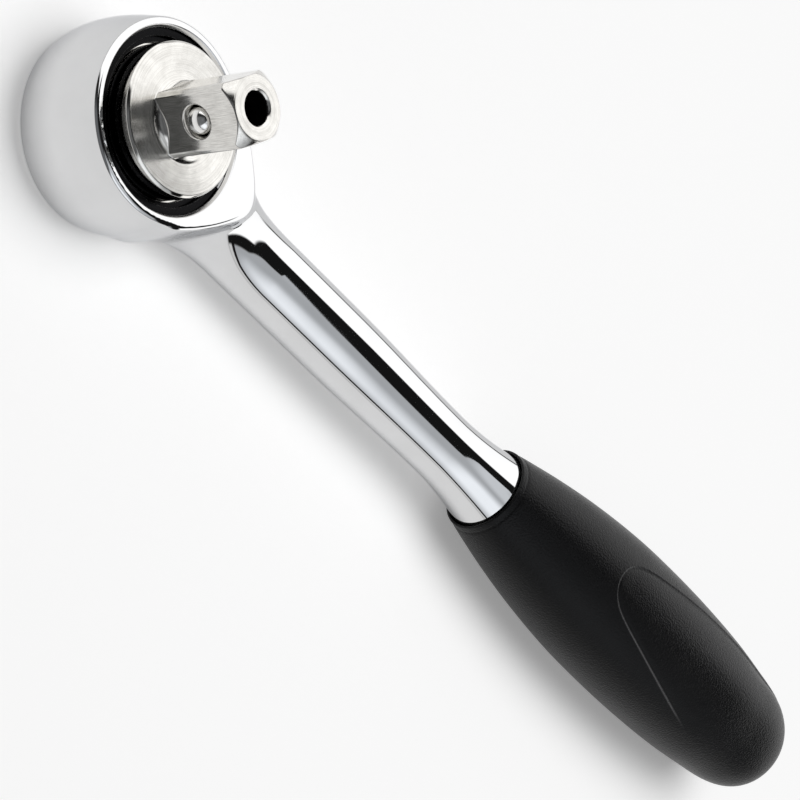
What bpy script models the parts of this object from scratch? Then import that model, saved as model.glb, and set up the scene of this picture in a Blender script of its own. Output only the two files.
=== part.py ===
"""Round head ratchet with a half inch square drive, a twin-pawl reversing head and a quick release.

The tool lies on its back: the drive axis is vertical, the drive square points up and the handle runs
along +X.  The reversing dial and the belly of the grip touch the plane z = 0.
All sizes below are millimetres; meshes are written in metres.
"""
import math

import bmesh
import bpy
from mathutils import Matrix, Vector

MM = 0.001

# Clearances
FIT = 0.3               # between two seated pieces
RUN = 0.4               # between two pieces that move past each other
TOOTH_PLAY = 0.15       # between a pawl tooth and the ring tooth it meshes with
OVERRUN = 1.0           # how far a cutting shape runs past the face that it cuts

# Head: a barrel turned about the drive axis
BACK_Z = 0.8            # back face of the head, above the dial's face
HEAD_HEIGHT = 21.95     # back face to front face
HEAD_BELLY_RADIUS = 21.35
HEAD_FACE_RADIUS = 19.6  # outer edge of the flat front face
HEAD_BACK_RADIUS = 19.4
FACE_EDGE = 0.95        # height of the rounded edges
FACE_FLARE = 0.55       # how far the front edge leans out
EDGE_SHARE = 0.3        # place of a rounded edge's middle corner, as a share of its height
BORE_RADIUS = 17.95     # mouth of the front bore
BORE_CHAMFER = 0.6
HEAD_SEGMENTS = 48
BARREL_STEPS = 8

# Ring of internal teeth
TEETH = 48              # a multiple of 12, so a quarter or twelfth turn meshes again
TOOTH_TIP_RADIUS = 15.0
TOOTH_HEIGHT = 0.85
TOOTH_LAND = 0.08       # flat of a tip or a root, as a share of the pitch
WEB_Z = 5.0             # inner end wall of the head, behind the teeth
WEB_THICKNESS = 3.0

# Handle: neck, shank and tang, forged in one with the head
HANDLE_AXIS_Z = 8.4     # where the handle axis meets the drive axis
SHANK_RADIUS = 8.15
WAIST_RADIUS = 7.5      # thinnest place, before the grip
WAIST_X = 107.0
TAPER_START_X = 70.0
MOUTH_X = 124.3         # front edge of the grip
MOUTH_RADIUS = 9.1
NECK_SIDE_FILLET = 35.0
NECK_TOP_FILLET = 40.0
NECK_SQUARENESS = 2.3   # power of the neck's upper section at the head, 2 being an ellipse
NECK_PAD_X = 26.0       # where the neck's top leaves the plane of the front face
NECK_PAD_DROP = 0.05    # of that flat top, below the face
NECK_ROOT = 0.66        # first section of the neck, as a share of the head's radius
NECK_STEPS = 11
TAPER_STEPS = 3
FLARE_STEPS = 5
FILLET_SHARE = 0.97     # most of a fillet's radius that is used
TANG_RADIUS = 6.4
TANG_LENGTH = 82.0
TANG_CHAMFER = 1.5

# Grip: half widths at stations along it, from its mouth to where its end rounds off
GRIP_MOUTH_RADIUS = 9.9
GRIP_BELLY_RADIUS = 16.6
GRIP_STATIONS = ((0.0, GRIP_MOUTH_RADIUS), (4.5, 10.9), (15.0, 12.95), (27.0, 14.8), (41.0, 16.2),
                 (55.0, GRIP_BELLY_RADIUS), (69.0, 16.4), (83.0, 15.6), (95.0, 14.2))
GRIP_END_ROUND = 16.5   # length of the rounded end
GRIP_END_FLAT = 0.12    # half width of the flat left at the very end, as a share
GRIP_END_POWER = 0.7    # fullness of the rounded end
GRIP_HEIGHT_SHARE = 0.93
GRIP_ROUND_SHARE = 0.4  # share of the length over which the round mouth turns oval
GRIP_STEPS = 14
GRIP_END_STEPS = 6
HANDLE_SEGMENTS = 32

# Drive spindle, turned about the drive axis and carrying the square
SPINDLE_ANGLE = 232.5   # heading of the detent ball from the handle, a whole number of tooth pitches
DISC_RADIUS = 15.0
DISC_Z = 25.9           # face of the disc
DISC_CHAMFER = 0.45
SHOULDER_RADIUS = 16.6
SHOULDER_Z = 17.5
SHOULDER_THICKNESS = 1.8
BODY_RADIUS = 13.8
BODY_Z = 9.05
TAIL_RADIUS = 9.0
TAIL_Z = 5.3
SQUARE = 12.7           # across the flats
SQUARE_CORNER = 0.95    # bevel on each corner
SQUARE_LENGTH = 18.95
SQUARE_END_RADIUS = 6.3
COLLAR_RADIUS = 8.5
COLLAR_FILLET = 2.1
COLLAR_STEPS = 4
AXIAL_BORE = 3.3
STEM_BORE = 7.9
STEM_BORE_TOP = 14.4
SPINDLE_SEGMENTS = 40

# Pieces in the front bore
WASHER_THICKNESS = 0.7
RING_THICKNESS = 0.8
RING_INNER_RADIUS = 16.4
RING_GROOVE_DEPTH = 0.85
RING_GAP = 14.0         # degrees left open in the retaining ring
SEAL_WIRE = 0.45        # half thickness of the seal ring
THRUST_WIDTH = 3.2      # of the thrust washer under the spindle's body
RING_STEPS = 36
RING_SEGMENTS = 30

# Pawls and their pins
PAWL_TEETH = 3
PAWL_FIRST = 2          # tooth pitches from the ball's heading to a pawl's first tooth, on each side
PAWL_ARM = 50.0         # angle round the drive axis from a nose to its pin
PIN_ORBIT = 11.4
PIN_RADIUS = 1.1
PAWL_BOSS = 2.2
BOSS_START = 10.0       # sweep of the boss round its pin, from the pin's heading
BOSS_END = 215.0
BOSS_STEPS = 9
PAWL_DEPTH = 3.4        # from the teeth to the inner side of the nose
PAWL_SWING = 9.0        # turn from neutral to engaged
PAWL_Z = 10.7
PAWL_THICKNESS = 3.2
POCKET_Z = 10.4
POCKET_HEIGHT = 6.0
PIN_BELOW = 9.35
PIN_LENGTH = 8.9
PIN_SEGMENTS = 16
PAWL_WIRE = 0.4         # thickness of the pawl spring's wire
PAWL_COIL = 1.75
PAWL_COIL_TURNS = 1.75
PAWL_COIL_STEPS = 12    # points in one turn

# Reversing dial with its cam stem
DIAL_RADIUS = 13.5
DIAL_THICKNESS = 4.7
DIAL_TURN = 30.0        # turn each way from neutral
DIAL_CHAMFER = 0.5
DIAL_RIM = 1.4          # wall left outside the finger hollows
FINGER_HOLLOW = 1.7     # depth of the two finger hollows in the dial's face
FINGER_BAR = 12.6       # width of the bar left between them
STEM_RADIUS = 7.5
STEM_TOP = 14.0
SNAP_WIRE = 0.45        # half thickness of the dial's snap ring
SNAP_Z = 3.1
BUSH_WALL = 1.3

# Dial detent, set radially in the spindle
CLICK_BALL = 1.2
CLICK_Z = 12.3
CLICK_BORE = 1.5
CLICK_DEPTH = 12.9      # end of its bore, from the drive axis
CLICK_WIRE = 0.35
CLICK_TURNS = 3
TRACK_SPARE = 3.0       # degrees of track left past each end of the dial's turn

# Quick release
BUTTON_RADIUS = 4.4
BUTTON_Z = 0.3
BUTTON_THICKNESS = 1.5
BUTTON_CHAMFER = 0.3
BUTTON_TRAVEL = 3.0
PLUNGER_RADIUS = 2.95
PLUNGER_TOP = 39.5
PLUNGER_CHAMFER = 0.5
SPIGOT_RADIUS = 2.0
SPIGOT_LENGTH = 0.9
SPRING_SEAT_Z = 9.0     # shoulder inside the stem
SPRING_COIL = 3.9
SPRING_WIRE = 0.55
SPRING_TURNS = 4
BALL_RADIUS = 2.75
BALL_Z = 34.9
BALL_PROUD = 1.15       # of the flat, at rest
BALL_TRAVEL = 1.2
SMALL_SEGMENTS = 28     # of the button, the plunger and the small bores
ARC_STEPS = 12

# Sizes that follow
HEAD_FACE_Z = BACK_Z + HEAD_HEIGHT
CHAMBER_Z = WEB_Z + WEB_THICKNESS
SHOULDER_TOP = SHOULDER_Z + SHOULDER_THICKNESS
SHOULDER_BORE = SHOULDER_RADIUS + FIT
WASHER_Z = SHOULDER_TOP + RUN
RING_Z = WASHER_Z + WASHER_THICKNESS + FIT
DRIVE_END_Z = DISC_Z + SQUARE_LENGTH
GRIP_X = MOUTH_X + FIT
TOOTH_PITCH = 360 / TEETH
PAWL_NOSE = (PAWL_FIRST + PAWL_TEETH / 2) * TOOTH_PITCH
BALL_REACH = SQUARE / 2 + BALL_PROUD - BALL_RADIUS


def polar(radius, degrees):
    """Point at a radius and a heading."""
    angle = math.radians(degrees)
    return Vector((radius * math.cos(angle), radius * math.sin(angle)))


def clear_scene():
    """Remove what the scene holds."""
    for item in list(bpy.data.objects):
        bpy.data.objects.remove(item, do_unlink=True)


def make_material(name, colour, roughness, metallic):
    """One Principled material."""
    made = bpy.data.materials.new(name)
    made.use_nodes = True
    shader = made.node_tree.nodes["Principled BSDF"]
    shader.inputs["Base Color"].default_value = (*colour, 1.0)
    shader.inputs["Roughness"].default_value = roughness
    shader.inputs["Metallic"].default_value = metallic
    return made


def make_axis(name, parent=None, location=(0, 0, 0), heading=0.0, tilt=0.0):
    """An empty that stands on a joint axis or along the handle."""
    axis = bpy.data.objects.new(name, None)
    bpy.context.collection.objects.link(axis)
    axis.parent = parent
    axis.location = Vector(location) * MM
    axis.rotation_euler = (0.0, -tilt, math.radians(heading))
    return axis


def finish(name, bm, parent, material=None, location=(0, 0, 0)):
    """Turn a bmesh in millimetres into a named object in metres."""
    bmesh.ops.recalc_face_normals(bm, faces=bm.faces)
    bmesh.ops.scale(bm, vec=(MM, MM, MM), verts=bm.verts)
    mesh = bpy.data.meshes.new(name)
    bm.to_mesh(mesh)
    bm.free()
    mesh.shade_smooth()
    mesh.set_sharp_from_angle(angle=math.radians(30))
    piece = bpy.data.objects.new(name, mesh)
    bpy.context.collection.objects.link(piece)
    piece.parent = parent
    piece.location = Vector(location) * MM
    if material:
        mesh.materials.append(material)
    return piece


def combine(target, tool, operation):
    """Boolean one shape into a piece and keep the tool as a hidden guide."""
    tool.hide_render = True
    tool.display_type = 'WIRE'
    step = target.modifiers.new(tool.name, 'BOOLEAN')
    step.operation = operation
    step.object = tool
    step.solver = 'EXACT'


def skin(rings, closed=False):
    """Faces over rings of points with equal counts, capped unless the rings close on themselves."""
    bm = bmesh.new()
    loops = [[bm.verts.new(point) for point in ring] for ring in rings]
    count = len(loops[0])
    last = len(loops) if closed else len(loops) - 1
    for i in range(last):
        lower = loops[i]
        upper = loops[(i + 1) % len(loops)]
        for k in range(count):
            n = (k + 1) % count
            bm.faces.new((lower[k], lower[n], upper[n], upper[k]))
    if not closed:
        bm.faces.new(list(reversed(loops[0])))
        bm.faces.new(loops[-1])
    return bm


def turned(profile, segments):
    """Revolve a closed outline of (radius, height) points about the vertical axis."""
    bm = bmesh.new()
    columns = []
    for radius, height in profile:
        if radius < 1e-6:
            columns.append([bm.verts.new((0, 0, height))])
            continue
        ring = []
        for k in range(segments):
            spoke = polar(radius, 360 * k / segments)
            ring.append(bm.verts.new((spoke.x, spoke.y, height)))
        columns.append(ring)
    for here, there in zip(columns, columns[1:] + columns[:1]):
        for k in range(segments):
            n = (k + 1) % segments
            corners = []
            for ring, index in ((here, k), (here, n), (there, n), (there, k)):
                vert = ring[index % len(ring)] if len(ring) > 1 else ring[0]
                if vert not in corners:
                    corners.append(vert)
            if len(corners) > 2:
                bm.faces.new(corners)
    return bm


def prism(outline, low, high):
    """Extrude a flat outline from one height to another."""
    return skin([[(x, y, low) for x, y in outline], [(x, y, high) for x, y in outline]])


def tube(path, thickness, sides=6):
    """A wire of even thickness along a path, with flat ends."""
    rings = []
    across = None
    for i, point in enumerate(path):
        ahead = path[min(i + 1, len(path) - 1)] - path[max(i - 1, 0)]
        ahead.normalize()
        if across is None:
            across = ahead.orthogonal()
        across = (across - ahead * across.dot(ahead)).normalized()
        beside = ahead.cross(across)
        ring = []
        for k in range(sides):
            spoke = polar(thickness / 2, 360 * k / sides)
            ring.append(point + across * spoke.x + beside * spoke.y)
        rings.append(ring)
    return skin(rings)


def helix(radius, low, high, turns, per_turn=10):
    """Points on a coil about the vertical axis."""
    count = int(turns * per_turn)
    points = []
    for i in range(count + 1):
        spoke = polar(radius, 360 * i / per_turn)
        points.append(Vector((spoke.x, spoke.y, low + (high - low) * i / count)))
    return points


def self_gap(path, thickness, per_turn=10):
    """Least gap between one turn of a coil and the next."""
    least = float("inf")
    for i, here in enumerate(path):
        for there in path[i + per_turn // 2:]:
            least = min(least, (here - there).length)
    return least - thickness


def arc(centre, radius, start, end, steps):
    """Points on an arc in a flat outline, headings in degrees."""
    return [Vector(centre) + polar(radius, start + (end - start) * i / steps) for i in range(steps + 1)]


def smooth_through(stations, x):
    """Cubic through stations of (x, value), with the slopes that its neighbours give."""
    for i in range(len(stations) - 1):
        if x <= stations[i + 1][0]:
            break
    (x0, y0), (x1, y1) = stations[i], stations[i + 1]
    before = stations[max(i - 1, 0)]
    after = stations[min(i + 2, len(stations) - 1)]
    span = x1 - x0
    slope0 = (y1 - before[1]) / (x1 - before[0]) * span
    slope1 = (after[1] - y0) / (after[0] - x0) * span
    t = (x - x0) / span
    rise = (2 * t**3 - 3 * t**2 + 1) * y0 + (t**3 - 2 * t**2 + t) * slope0
    return rise + (3 * t**2 - 2 * t**3) * y1 + (t**3 - t**2) * slope1


def convex_hull(points):
    """Outer boundary of flat points, anticlockwise."""
    ordered = sorted({(round(p[0], 5), round(p[1], 5)) for p in points})
    halves = []
    for run in (ordered, list(reversed(ordered))):
        side = []
        for point in run:
            while len(side) > 1:
                a, b = side[-2], side[-1]
                turn = (b[0] - a[0]) * (point[1] - a[1]) - (b[1] - a[1]) * (point[0] - a[0])
                if turn > 0:
                    break
                side.pop()
            side.append(point)
        halves.append(side[:-1])
    return [Vector(p) for p in halves[0] + halves[1]]


def tooth_radius(degrees, shrink=0.0):
    """Inner outline of the toothed ring at a heading, a tooth tip standing at heading zero."""
    share = abs((degrees / TOOTH_PITCH + 0.5) % 1.0 - 0.5) * 2
    ramp = (share - TOOTH_LAND) / (1 - 2 * TOOTH_LAND)
    return TOOTH_TIP_RADIUS - shrink + TOOTH_HEIGHT * min(max(ramp, 0.0), 1.0)


def tooth_outline(start, end, shrink=0.0):
    """Corner points of the ring teeth between two headings that are whole half pitches."""
    half = TOOTH_PITCH / 2
    points = []
    for i in range(round(start / half), round(end / half) + 1):
        for side in (-1, 1):
            heading = i * half + side * TOOTH_LAND * half
            points.append(polar(tooth_radius(heading, shrink), heading))
    return points


def neck_flare(x, fillet, reach, start):
    """Height that a fillet adds to the shank where the neck runs into the head."""
    along = min(max(start - x, 0.0), fillet * FILLET_SHARE)
    return min(fillet - math.sqrt(fillet**2 - along**2), reach)


def shank_radius(x):
    """Radius of the plain shank: even, then a long taper to the waist, then a flare to the grip."""
    if x <= TAPER_START_X:
        return SHANK_RADIUS
    if x <= WAIST_X:
        share = (x - TAPER_START_X) / (WAIST_X - TAPER_START_X)
        return SHANK_RADIUS + (WAIST_RADIUS - SHANK_RADIUS) * (1 - math.cos(math.pi * share)) / 2
    share = (x - WAIST_X) / (MOUTH_X - WAIST_X)
    return WAIST_RADIUS + (MOUTH_RADIUS - WAIST_RADIUS) * share**2


def oval_ring(x, half_width, above, below, power=2.0, ceiling=math.inf):
    """Section of the handle at x: an ellipse, squarer above its axis where the power is over 2."""
    ring = []
    for k in range(HANDLE_SEGMENTS):
        spoke = polar(1.0, 360 * k / HANDLE_SEGMENTS)
        y, z = spoke
        if z > 0:
            y = math.copysign(abs(y)**(2 / power), y)
            z = z**(2 / power)
        height = min((above if z > 0 else below) * z, ceiling)
        ring.append(Vector((x, half_width * y, height)))
    return ring


def grip_rings():
    """Sections of the grip from its mouth to its rounded end."""
    rings = []
    length, end_half = GRIP_STATIONS[-1]
    for i in range(GRIP_STEPS + 1):
        x = length * i / GRIP_STEPS
        half = smooth_through(GRIP_STATIONS, x)
        high = half * (1 - (1 - GRIP_HEIGHT_SHARE) * min(x / (length * GRIP_ROUND_SHARE), 1.0))
        rings.append(oval_ring(GRIP_X + x, half, high, high))
    for i in range(1, GRIP_END_STEPS + 1):
        angle = math.pi / 2 * i / GRIP_END_STEPS
        half = end_half * max(math.cos(angle), GRIP_END_FLAT)**GRIP_END_POWER
        high = half * GRIP_HEIGHT_SHARE
        rings.append(oval_ring(GRIP_X + length + GRIP_END_ROUND * math.sin(angle), half, high, high))
    return rings


def resting_tilt(rings):
    """Slope of the handle at which the grip's belly touches the plane of the dial's face."""
    low, high = 0.0, 0.3
    for _ in range(40):
        tilt = (low + high) / 2
        lowest = min(p.x * math.sin(tilt) + p.z * math.cos(tilt) for ring in rings for p in ring)
        if HANDLE_AXIS_Z + lowest < 0:
            low = tilt
        else:
            high = tilt
    return tilt


def barrel_profile():
    """Outer outline of the head from its back to its front, bulged, with rounded edges."""
    low_z = BACK_Z + FACE_EDGE
    high_z = HEAD_FACE_Z - FACE_EDGE
    front_radius = HEAD_FACE_RADIUS + FACE_FLARE
    points = [(HEAD_BACK_RADIUS - FACE_EDGE, BACK_Z),
              (HEAD_BACK_RADIUS - EDGE_SHARE * FACE_EDGE, BACK_Z + EDGE_SHARE * FACE_EDGE)]
    for i in range(BARREL_STEPS + 1):
        share = i / BARREL_STEPS
        edge = HEAD_BACK_RADIUS + (front_radius - HEAD_BACK_RADIUS) * share
        bulge = 1 - (2 * share - 1)**2
        points.append((edge + (HEAD_BELLY_RADIUS - edge) * bulge, low_z + (high_z - low_z) * share))
    points.append((HEAD_FACE_RADIUS + (1 - EDGE_SHARE) * FACE_FLARE, HEAD_FACE_Z - EDGE_SHARE * FACE_EDGE))
    points.append((HEAD_FACE_RADIUS, HEAD_FACE_Z))
    return points


def handle_rings(tilt):
    """Sections of the neck, the shank and the tang along the handle.

    The neck's top rises above the front face and is cut off flush with it, so that the face
    runs out into a pointed pad towards the handle.
    """
    side_start = math.sqrt((HEAD_BELLY_RADIUS + NECK_SIDE_FILLET)**2 - (SHANK_RADIUS + NECK_SIDE_FILLET)**2)
    slope = math.tan(tilt)
    pad_top = HEAD_FACE_Z - NECK_PAD_DROP - HANDLE_AXIS_Z
    pad_rise = pad_top - NECK_PAD_X * slope - SHANK_RADIUS
    top_start = NECK_PAD_X + math.sqrt(NECK_TOP_FILLET**2 - (NECK_TOP_FILLET - pad_rise)**2)
    neck_x = HEAD_BELLY_RADIUS * NECK_ROOT
    neck_end = max(side_start, top_start)
    stations = [neck_x + (neck_end - neck_x) * i / NECK_STEPS for i in range(NECK_STEPS + 1)]
    stations += [(neck_end + TAPER_START_X) / 2]
    taper = WAIST_X - TAPER_START_X
    stations += [TAPER_START_X + taper * i / TAPER_STEPS for i in range(TAPER_STEPS + 1)]
    stations += [WAIST_X + (MOUTH_X - WAIST_X) * i / FLARE_STEPS for i in range(1, FLARE_STEPS + 1)]
    rings = []
    for x in stations:
        radius = shank_radius(x)
        wide = radius + neck_flare(x, NECK_SIDE_FILLET, HEAD_BELLY_RADIUS / 2, side_start)
        tall = radius + neck_flare(x, NECK_TOP_FILLET, HEAD_BELLY_RADIUS, top_start)
        share = min(max((neck_end - x) / (neck_end - HEAD_BELLY_RADIUS), 0.0), 1.0)
        ceiling = pad_top / math.cos(tilt) - x * slope
        rings.append(oval_ring(x, wide, tall, radius, 2 + (NECK_SQUARENESS - 2) * share**2, ceiling))
    tang_end = MOUTH_X + TANG_LENGTH
    for x, radius in ((MOUTH_X, TANG_RADIUS), (tang_end - TANG_CHAMFER, TANG_RADIUS),
                      (tang_end, TANG_RADIUS - TANG_CHAMFER)):
        rings.append(oval_ring(x, radius, radius, radius))
    return rings


def make_forging(tool_axis, handle_axis, tilt, steel):
    """Head, neck, shank and tang in one forging, with its bores and internal teeth."""
    centre = [(0.0, HEAD_FACE_Z), (0.0, BACK_Z)]
    head = finish("head_forging", turned(barrel_profile() + centre, HEAD_SEGMENTS), tool_axis, steel)
    combine(head, finish("handle_shape", skin(handle_rings(tilt)), handle_axis), 'UNION')

    groove_z = RING_Z - FIT
    groove_top = RING_Z + RING_THICKNESS + FIT
    groove_radius = BORE_RADIUS + RING_GROOVE_DEPTH
    beyond = HEAD_FACE_Z + FACE_EDGE
    front = [(0.0, beyond), (BORE_RADIUS + BORE_CHAMFER + FACE_EDGE, beyond),
             (BORE_RADIUS, HEAD_FACE_Z - BORE_CHAMFER), (BORE_RADIUS, groove_top),
             (groove_radius, groove_top), (groove_radius, groove_z), (BORE_RADIUS, groove_z),
             (BORE_RADIUS, SHOULDER_TOP + FIT), (SHOULDER_BORE, SHOULDER_TOP + FIT),
             (SHOULDER_BORE, SHOULDER_Z - FIT), (0.0, SHOULDER_Z - FIT)]
    combine(head, finish("front_bore", turned(front, HEAD_SEGMENTS), tool_axis), 'DIFFERENCE')

    ring = tooth_outline(0, 360 - TOOTH_PITCH / 2)
    combine(head, finish("tooth_broach", prism(ring, CHAMBER_Z, SHOULDER_Z), tool_axis), 'DIFFERENCE')

    recess = DIAL_RADIUS + RUN
    web_hole = TAIL_RADIUS + RUN + BUSH_WALL + FIT
    snap = recess + SNAP_WIRE + FIT
    half_groove = SNAP_WIRE + FIT
    rear = [(0.0, CHAMBER_Z + FIT), (web_hole, CHAMBER_Z + FIT), (web_hole, WEB_Z), (recess, WEB_Z),
            (recess, SNAP_Z + half_groove), (snap, SNAP_Z + half_groove), (snap, SNAP_Z - half_groove),
            (recess, SNAP_Z - half_groove), (recess, BACK_Z - FIT), (0.0, BACK_Z - FIT)]
    combine(head, finish("rear_bore", turned(rear, HEAD_SEGMENTS), tool_axis), 'DIFFERENCE')
    return head


def make_grip(handle_axis, rings, rubber):
    """Moulded grip over the tang: a swelling oval with a round end and a blind socket."""
    grip = finish("grip", skin(rings), handle_axis, rubber)
    bore = TANG_RADIUS + FIT
    socket = []
    for x in (GRIP_X - OVERRUN, MOUTH_X + TANG_LENGTH + FIT):
        socket.append(oval_ring(x, bore, bore, bore))
    combine(grip, finish("grip_socket", skin(socket), handle_axis), 'DIFFERENCE')
    return grip


def square_outline():
    """Drive square with bevelled corners."""
    half = SQUARE / 2
    cut = half - SQUARE_CORNER
    return [(half, -cut), (half, cut), (cut, half), (-cut, half),
            (-half, cut), (-half, -cut), (-cut, -half), (cut, -half)]


def pawl_outline(side, swing):
    """Flat outline of a pawl about the drive axis; swing 1 is engaged and 0 is neutral."""
    nose = PAWL_NOSE
    pin = polar(PIN_ORBIT, nose + PAWL_ARM)
    first = PAWL_FIRST * TOOTH_PITCH
    last = first + PAWL_TEETH * TOOTH_PITCH
    toothed = tooth_outline(first, last, TOOTH_PLAY * math.sqrt(2))
    heading = nose + PAWL_ARM
    boss = arc(pin, PAWL_BOSS, heading + BOSS_START, heading + BOSS_END, BOSS_STEPS)
    inner = TOOTH_TIP_RADIUS - PAWL_DEPTH
    outline = toothed + boss + [polar(inner, nose + TOOTH_PITCH / 2), polar(inner, first)]
    angle = -math.radians(PAWL_SWING) * (1 - swing)
    turned_in = [pin + Matrix.Rotation(angle, 2) @ (point - pin) for point in outline]
    return [Vector((point.x, side * point.y)) for point in turned_in]


def pawl_pocket(side):
    """Room that a pawl sweeps in the spindle, grown by a running clearance."""
    swept = []
    for swing in (-1, 0, 1):
        swept += pawl_outline(side, swing)
    grown = []
    for point in swept:
        grown += [point + polar(RUN, 45 * k) for k in range(8)]
    return convex_hull(grown)


def make_spindle(axis, steel):
    """Turned spindle with the drive square, pawl pockets and the bores of its mechanism."""
    collar = []
    for i in range(COLLAR_STEPS + 1):
        angle = math.pi / 2 * i / COLLAR_STEPS
        collar.append((COLLAR_RADIUS - COLLAR_FILLET * math.sin(angle),
                       DISC_Z + COLLAR_FILLET * (1 - math.cos(angle))))
    seal_z = SHOULDER_Z + SHOULDER_THICKNESS / 2
    seal_half = SEAL_WIRE + FIT / 2
    seal_floor = SHOULDER_RADIUS - 2 * SEAL_WIRE - FIT
    profile = [(0.0, TAIL_Z), (TAIL_RADIUS, TAIL_Z), (TAIL_RADIUS, BODY_Z), (BODY_RADIUS, BODY_Z),
               (BODY_RADIUS, SHOULDER_Z), (SHOULDER_RADIUS, SHOULDER_Z),
               (SHOULDER_RADIUS, seal_z - seal_half), (seal_floor, seal_z - seal_half),
               (seal_floor, seal_z + seal_half), (SHOULDER_RADIUS, seal_z + seal_half),
               (SHOULDER_RADIUS, SHOULDER_TOP), (DISC_RADIUS, SHOULDER_TOP),
               (DISC_RADIUS, DISC_Z - DISC_CHAMFER), (DISC_RADIUS - DISC_CHAMFER, DISC_Z)]
    profile += collar + [(0.0, DISC_Z + COLLAR_FILLET)]
    spindle = finish("drive_spindle", turned(profile, SPINDLE_SEGMENTS), axis, steel)

    square = finish("square_shape", prism(square_outline(), DISC_Z - OVERRUN, DRIVE_END_Z), axis)
    reach = SQUARE
    turning = [(0.0, DRIVE_END_Z), (SQUARE_END_RADIUS, DRIVE_END_Z),
               (reach, DRIVE_END_Z - (reach - SQUARE_END_RADIUS)),
               (reach, DISC_Z - 2 * OVERRUN), (0.0, DISC_Z - 2 * OVERRUN)]
    combine(square, finish("square_turning", turned(turning, SPINDLE_SEGMENTS), axis), 'INTERSECT')
    combine(spindle, square, 'UNION')

    bores = [(0.0, DRIVE_END_Z + OVERRUN), (AXIAL_BORE, DRIVE_END_Z + OVERRUN), (AXIAL_BORE, STEM_BORE_TOP),
             (STEM_BORE, STEM_BORE_TOP), (STEM_BORE, TAIL_Z - OVERRUN), (0.0, TAIL_Z - OVERRUN)]
    combine(spindle, finish("axial_bore", turned(bores, SMALL_SEGMENTS), axis), 'DIFFERENCE')
    for side in (1, -1):
        word = "left" if side > 0 else "right"
        room = prism(pawl_pocket(side), POCKET_Z, POCKET_Z + POCKET_HEIGHT)
        combine(spindle, finish("pawl_pocket_" + word, room, axis), 'DIFFERENCE')
        pin = polar(PIN_ORBIT, side * (PAWL_NOSE + PAWL_ARM))
        pin_room = PIN_RADIUS + FIT
        pin_roof = PIN_BELOW + PIN_LENGTH + FIT
        bore = turned([(0.0, BODY_Z - OVERRUN), (pin_room, BODY_Z - OVERRUN),
                       (pin_room, pin_roof), (0.0, pin_roof)], PIN_SEGMENTS)
        combine(spindle, finish("pin_bore_" + word, bore, axis, location=(pin.x, pin.y, 0)), 'DIFFERENCE')

    across = Matrix.Rotation(math.pi / 2, 4, 'Y')
    ball_room = BALL_RADIUS + FIT
    ball_bore = turned([(0.0, 0.0), (ball_room, 0.0), (ball_room, SQUARE), (0.0, SQUARE)], SMALL_SEGMENTS)
    bmesh.ops.transform(ball_bore, matrix=across, verts=ball_bore.verts)
    combine(spindle, finish("ball_bore", ball_bore, axis, location=(0, 0, BALL_Z)), 'DIFFERENCE')
    click_bore = turned([(0.0, -CLICK_DEPTH), (CLICK_BORE, -CLICK_DEPTH), (CLICK_BORE, 0.0), (0.0, 0.0)],
                        PIN_SEGMENTS)
    bmesh.ops.transform(click_bore, matrix=across, verts=click_bore.verts)
    combine(spindle, finish("click_bore", click_bore, axis, location=(0, 0, CLICK_Z)), 'DIFFERENCE')
    return spindle


def make_front_pieces(tool_axis, black_steel):
    """Black cover washer and retaining ring that close the front bore."""
    inner = DISC_RADIUS + FIT
    outer = BORE_RADIUS - FIT
    washer = [(inner, WASHER_Z), (outer, WASHER_Z), (outer, WASHER_Z + WASHER_THICKNESS),
              (inner, WASHER_Z + WASHER_THICKNESS)]
    finish("cover_washer", turned(washer, SPINDLE_SEGMENTS), tool_axis, black_steel)
    ring_outer = BORE_RADIUS + RING_GROOVE_DEPTH - FIT
    start = RING_GAP / 2
    end = 360 - RING_GAP / 2
    outline = arc((0, 0), ring_outer, start, end, RING_STEPS)
    outline += arc((0, 0), RING_INNER_RADIUS, end, start, RING_STEPS)
    finish("retaining_ring", strip_prism(outline, RING_Z, RING_Z + RING_THICKNESS), tool_axis, black_steel)


def strip_prism(outline, low, high):
    """Extrude an open ring whose outline runs out along one edge and back along the other."""
    half = len(outline) // 2
    rings = []
    for i in range(half):
        out_point = outline[i]
        in_point = outline[len(outline) - 1 - i]
        rings.append([(out_point.x, out_point.y, low), (out_point.x, out_point.y, high),
                      (in_point.x, in_point.y, high), (in_point.x, in_point.y, low)])
    return skin(rings)


def wire_ring(radius, height, half_thickness, segments, sides=6):
    """Outline of a round ring section, to be revolved."""
    points = []
    for k in range(sides):
        spoke = polar(half_thickness, 360 * k / sides + 180 / sides)
        points.append((radius + spoke.x, height + spoke.y))
    return turned(points, segments)


def make_bearings(tool_axis, spindle_axis, bronze, rubber):
    """Tail bush in the head, and the thrust washer and seal ring on the spindle."""
    inner = TAIL_RADIUS + RUN
    outer = inner + BUSH_WALL
    bush = [(inner, WEB_Z + FIT), (outer, WEB_Z + FIT), (outer, CHAMBER_Z), (inner, CHAMBER_Z)]
    finish("tail_bush", turned(bush, RING_SEGMENTS), tool_axis, bronze)
    low = CHAMBER_Z + FIT
    high = BODY_Z - FIT / 2
    hole = TAIL_RADIUS + FIT
    rim = hole + THRUST_WIDTH
    washer = [(hole, low), (rim, low), (rim, high), (hole, high)]
    finish("thrust_washer", turned(washer, RING_SEGMENTS), spindle_axis, bronze)
    seal_radius = SHOULDER_RADIUS - SEAL_WIRE
    seal = wire_ring(seal_radius, SHOULDER_Z + SHOULDER_THICKNESS / 2, SEAL_WIRE, RING_SEGMENTS)
    finish("seal_ring", seal, spindle_axis, rubber)


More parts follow.
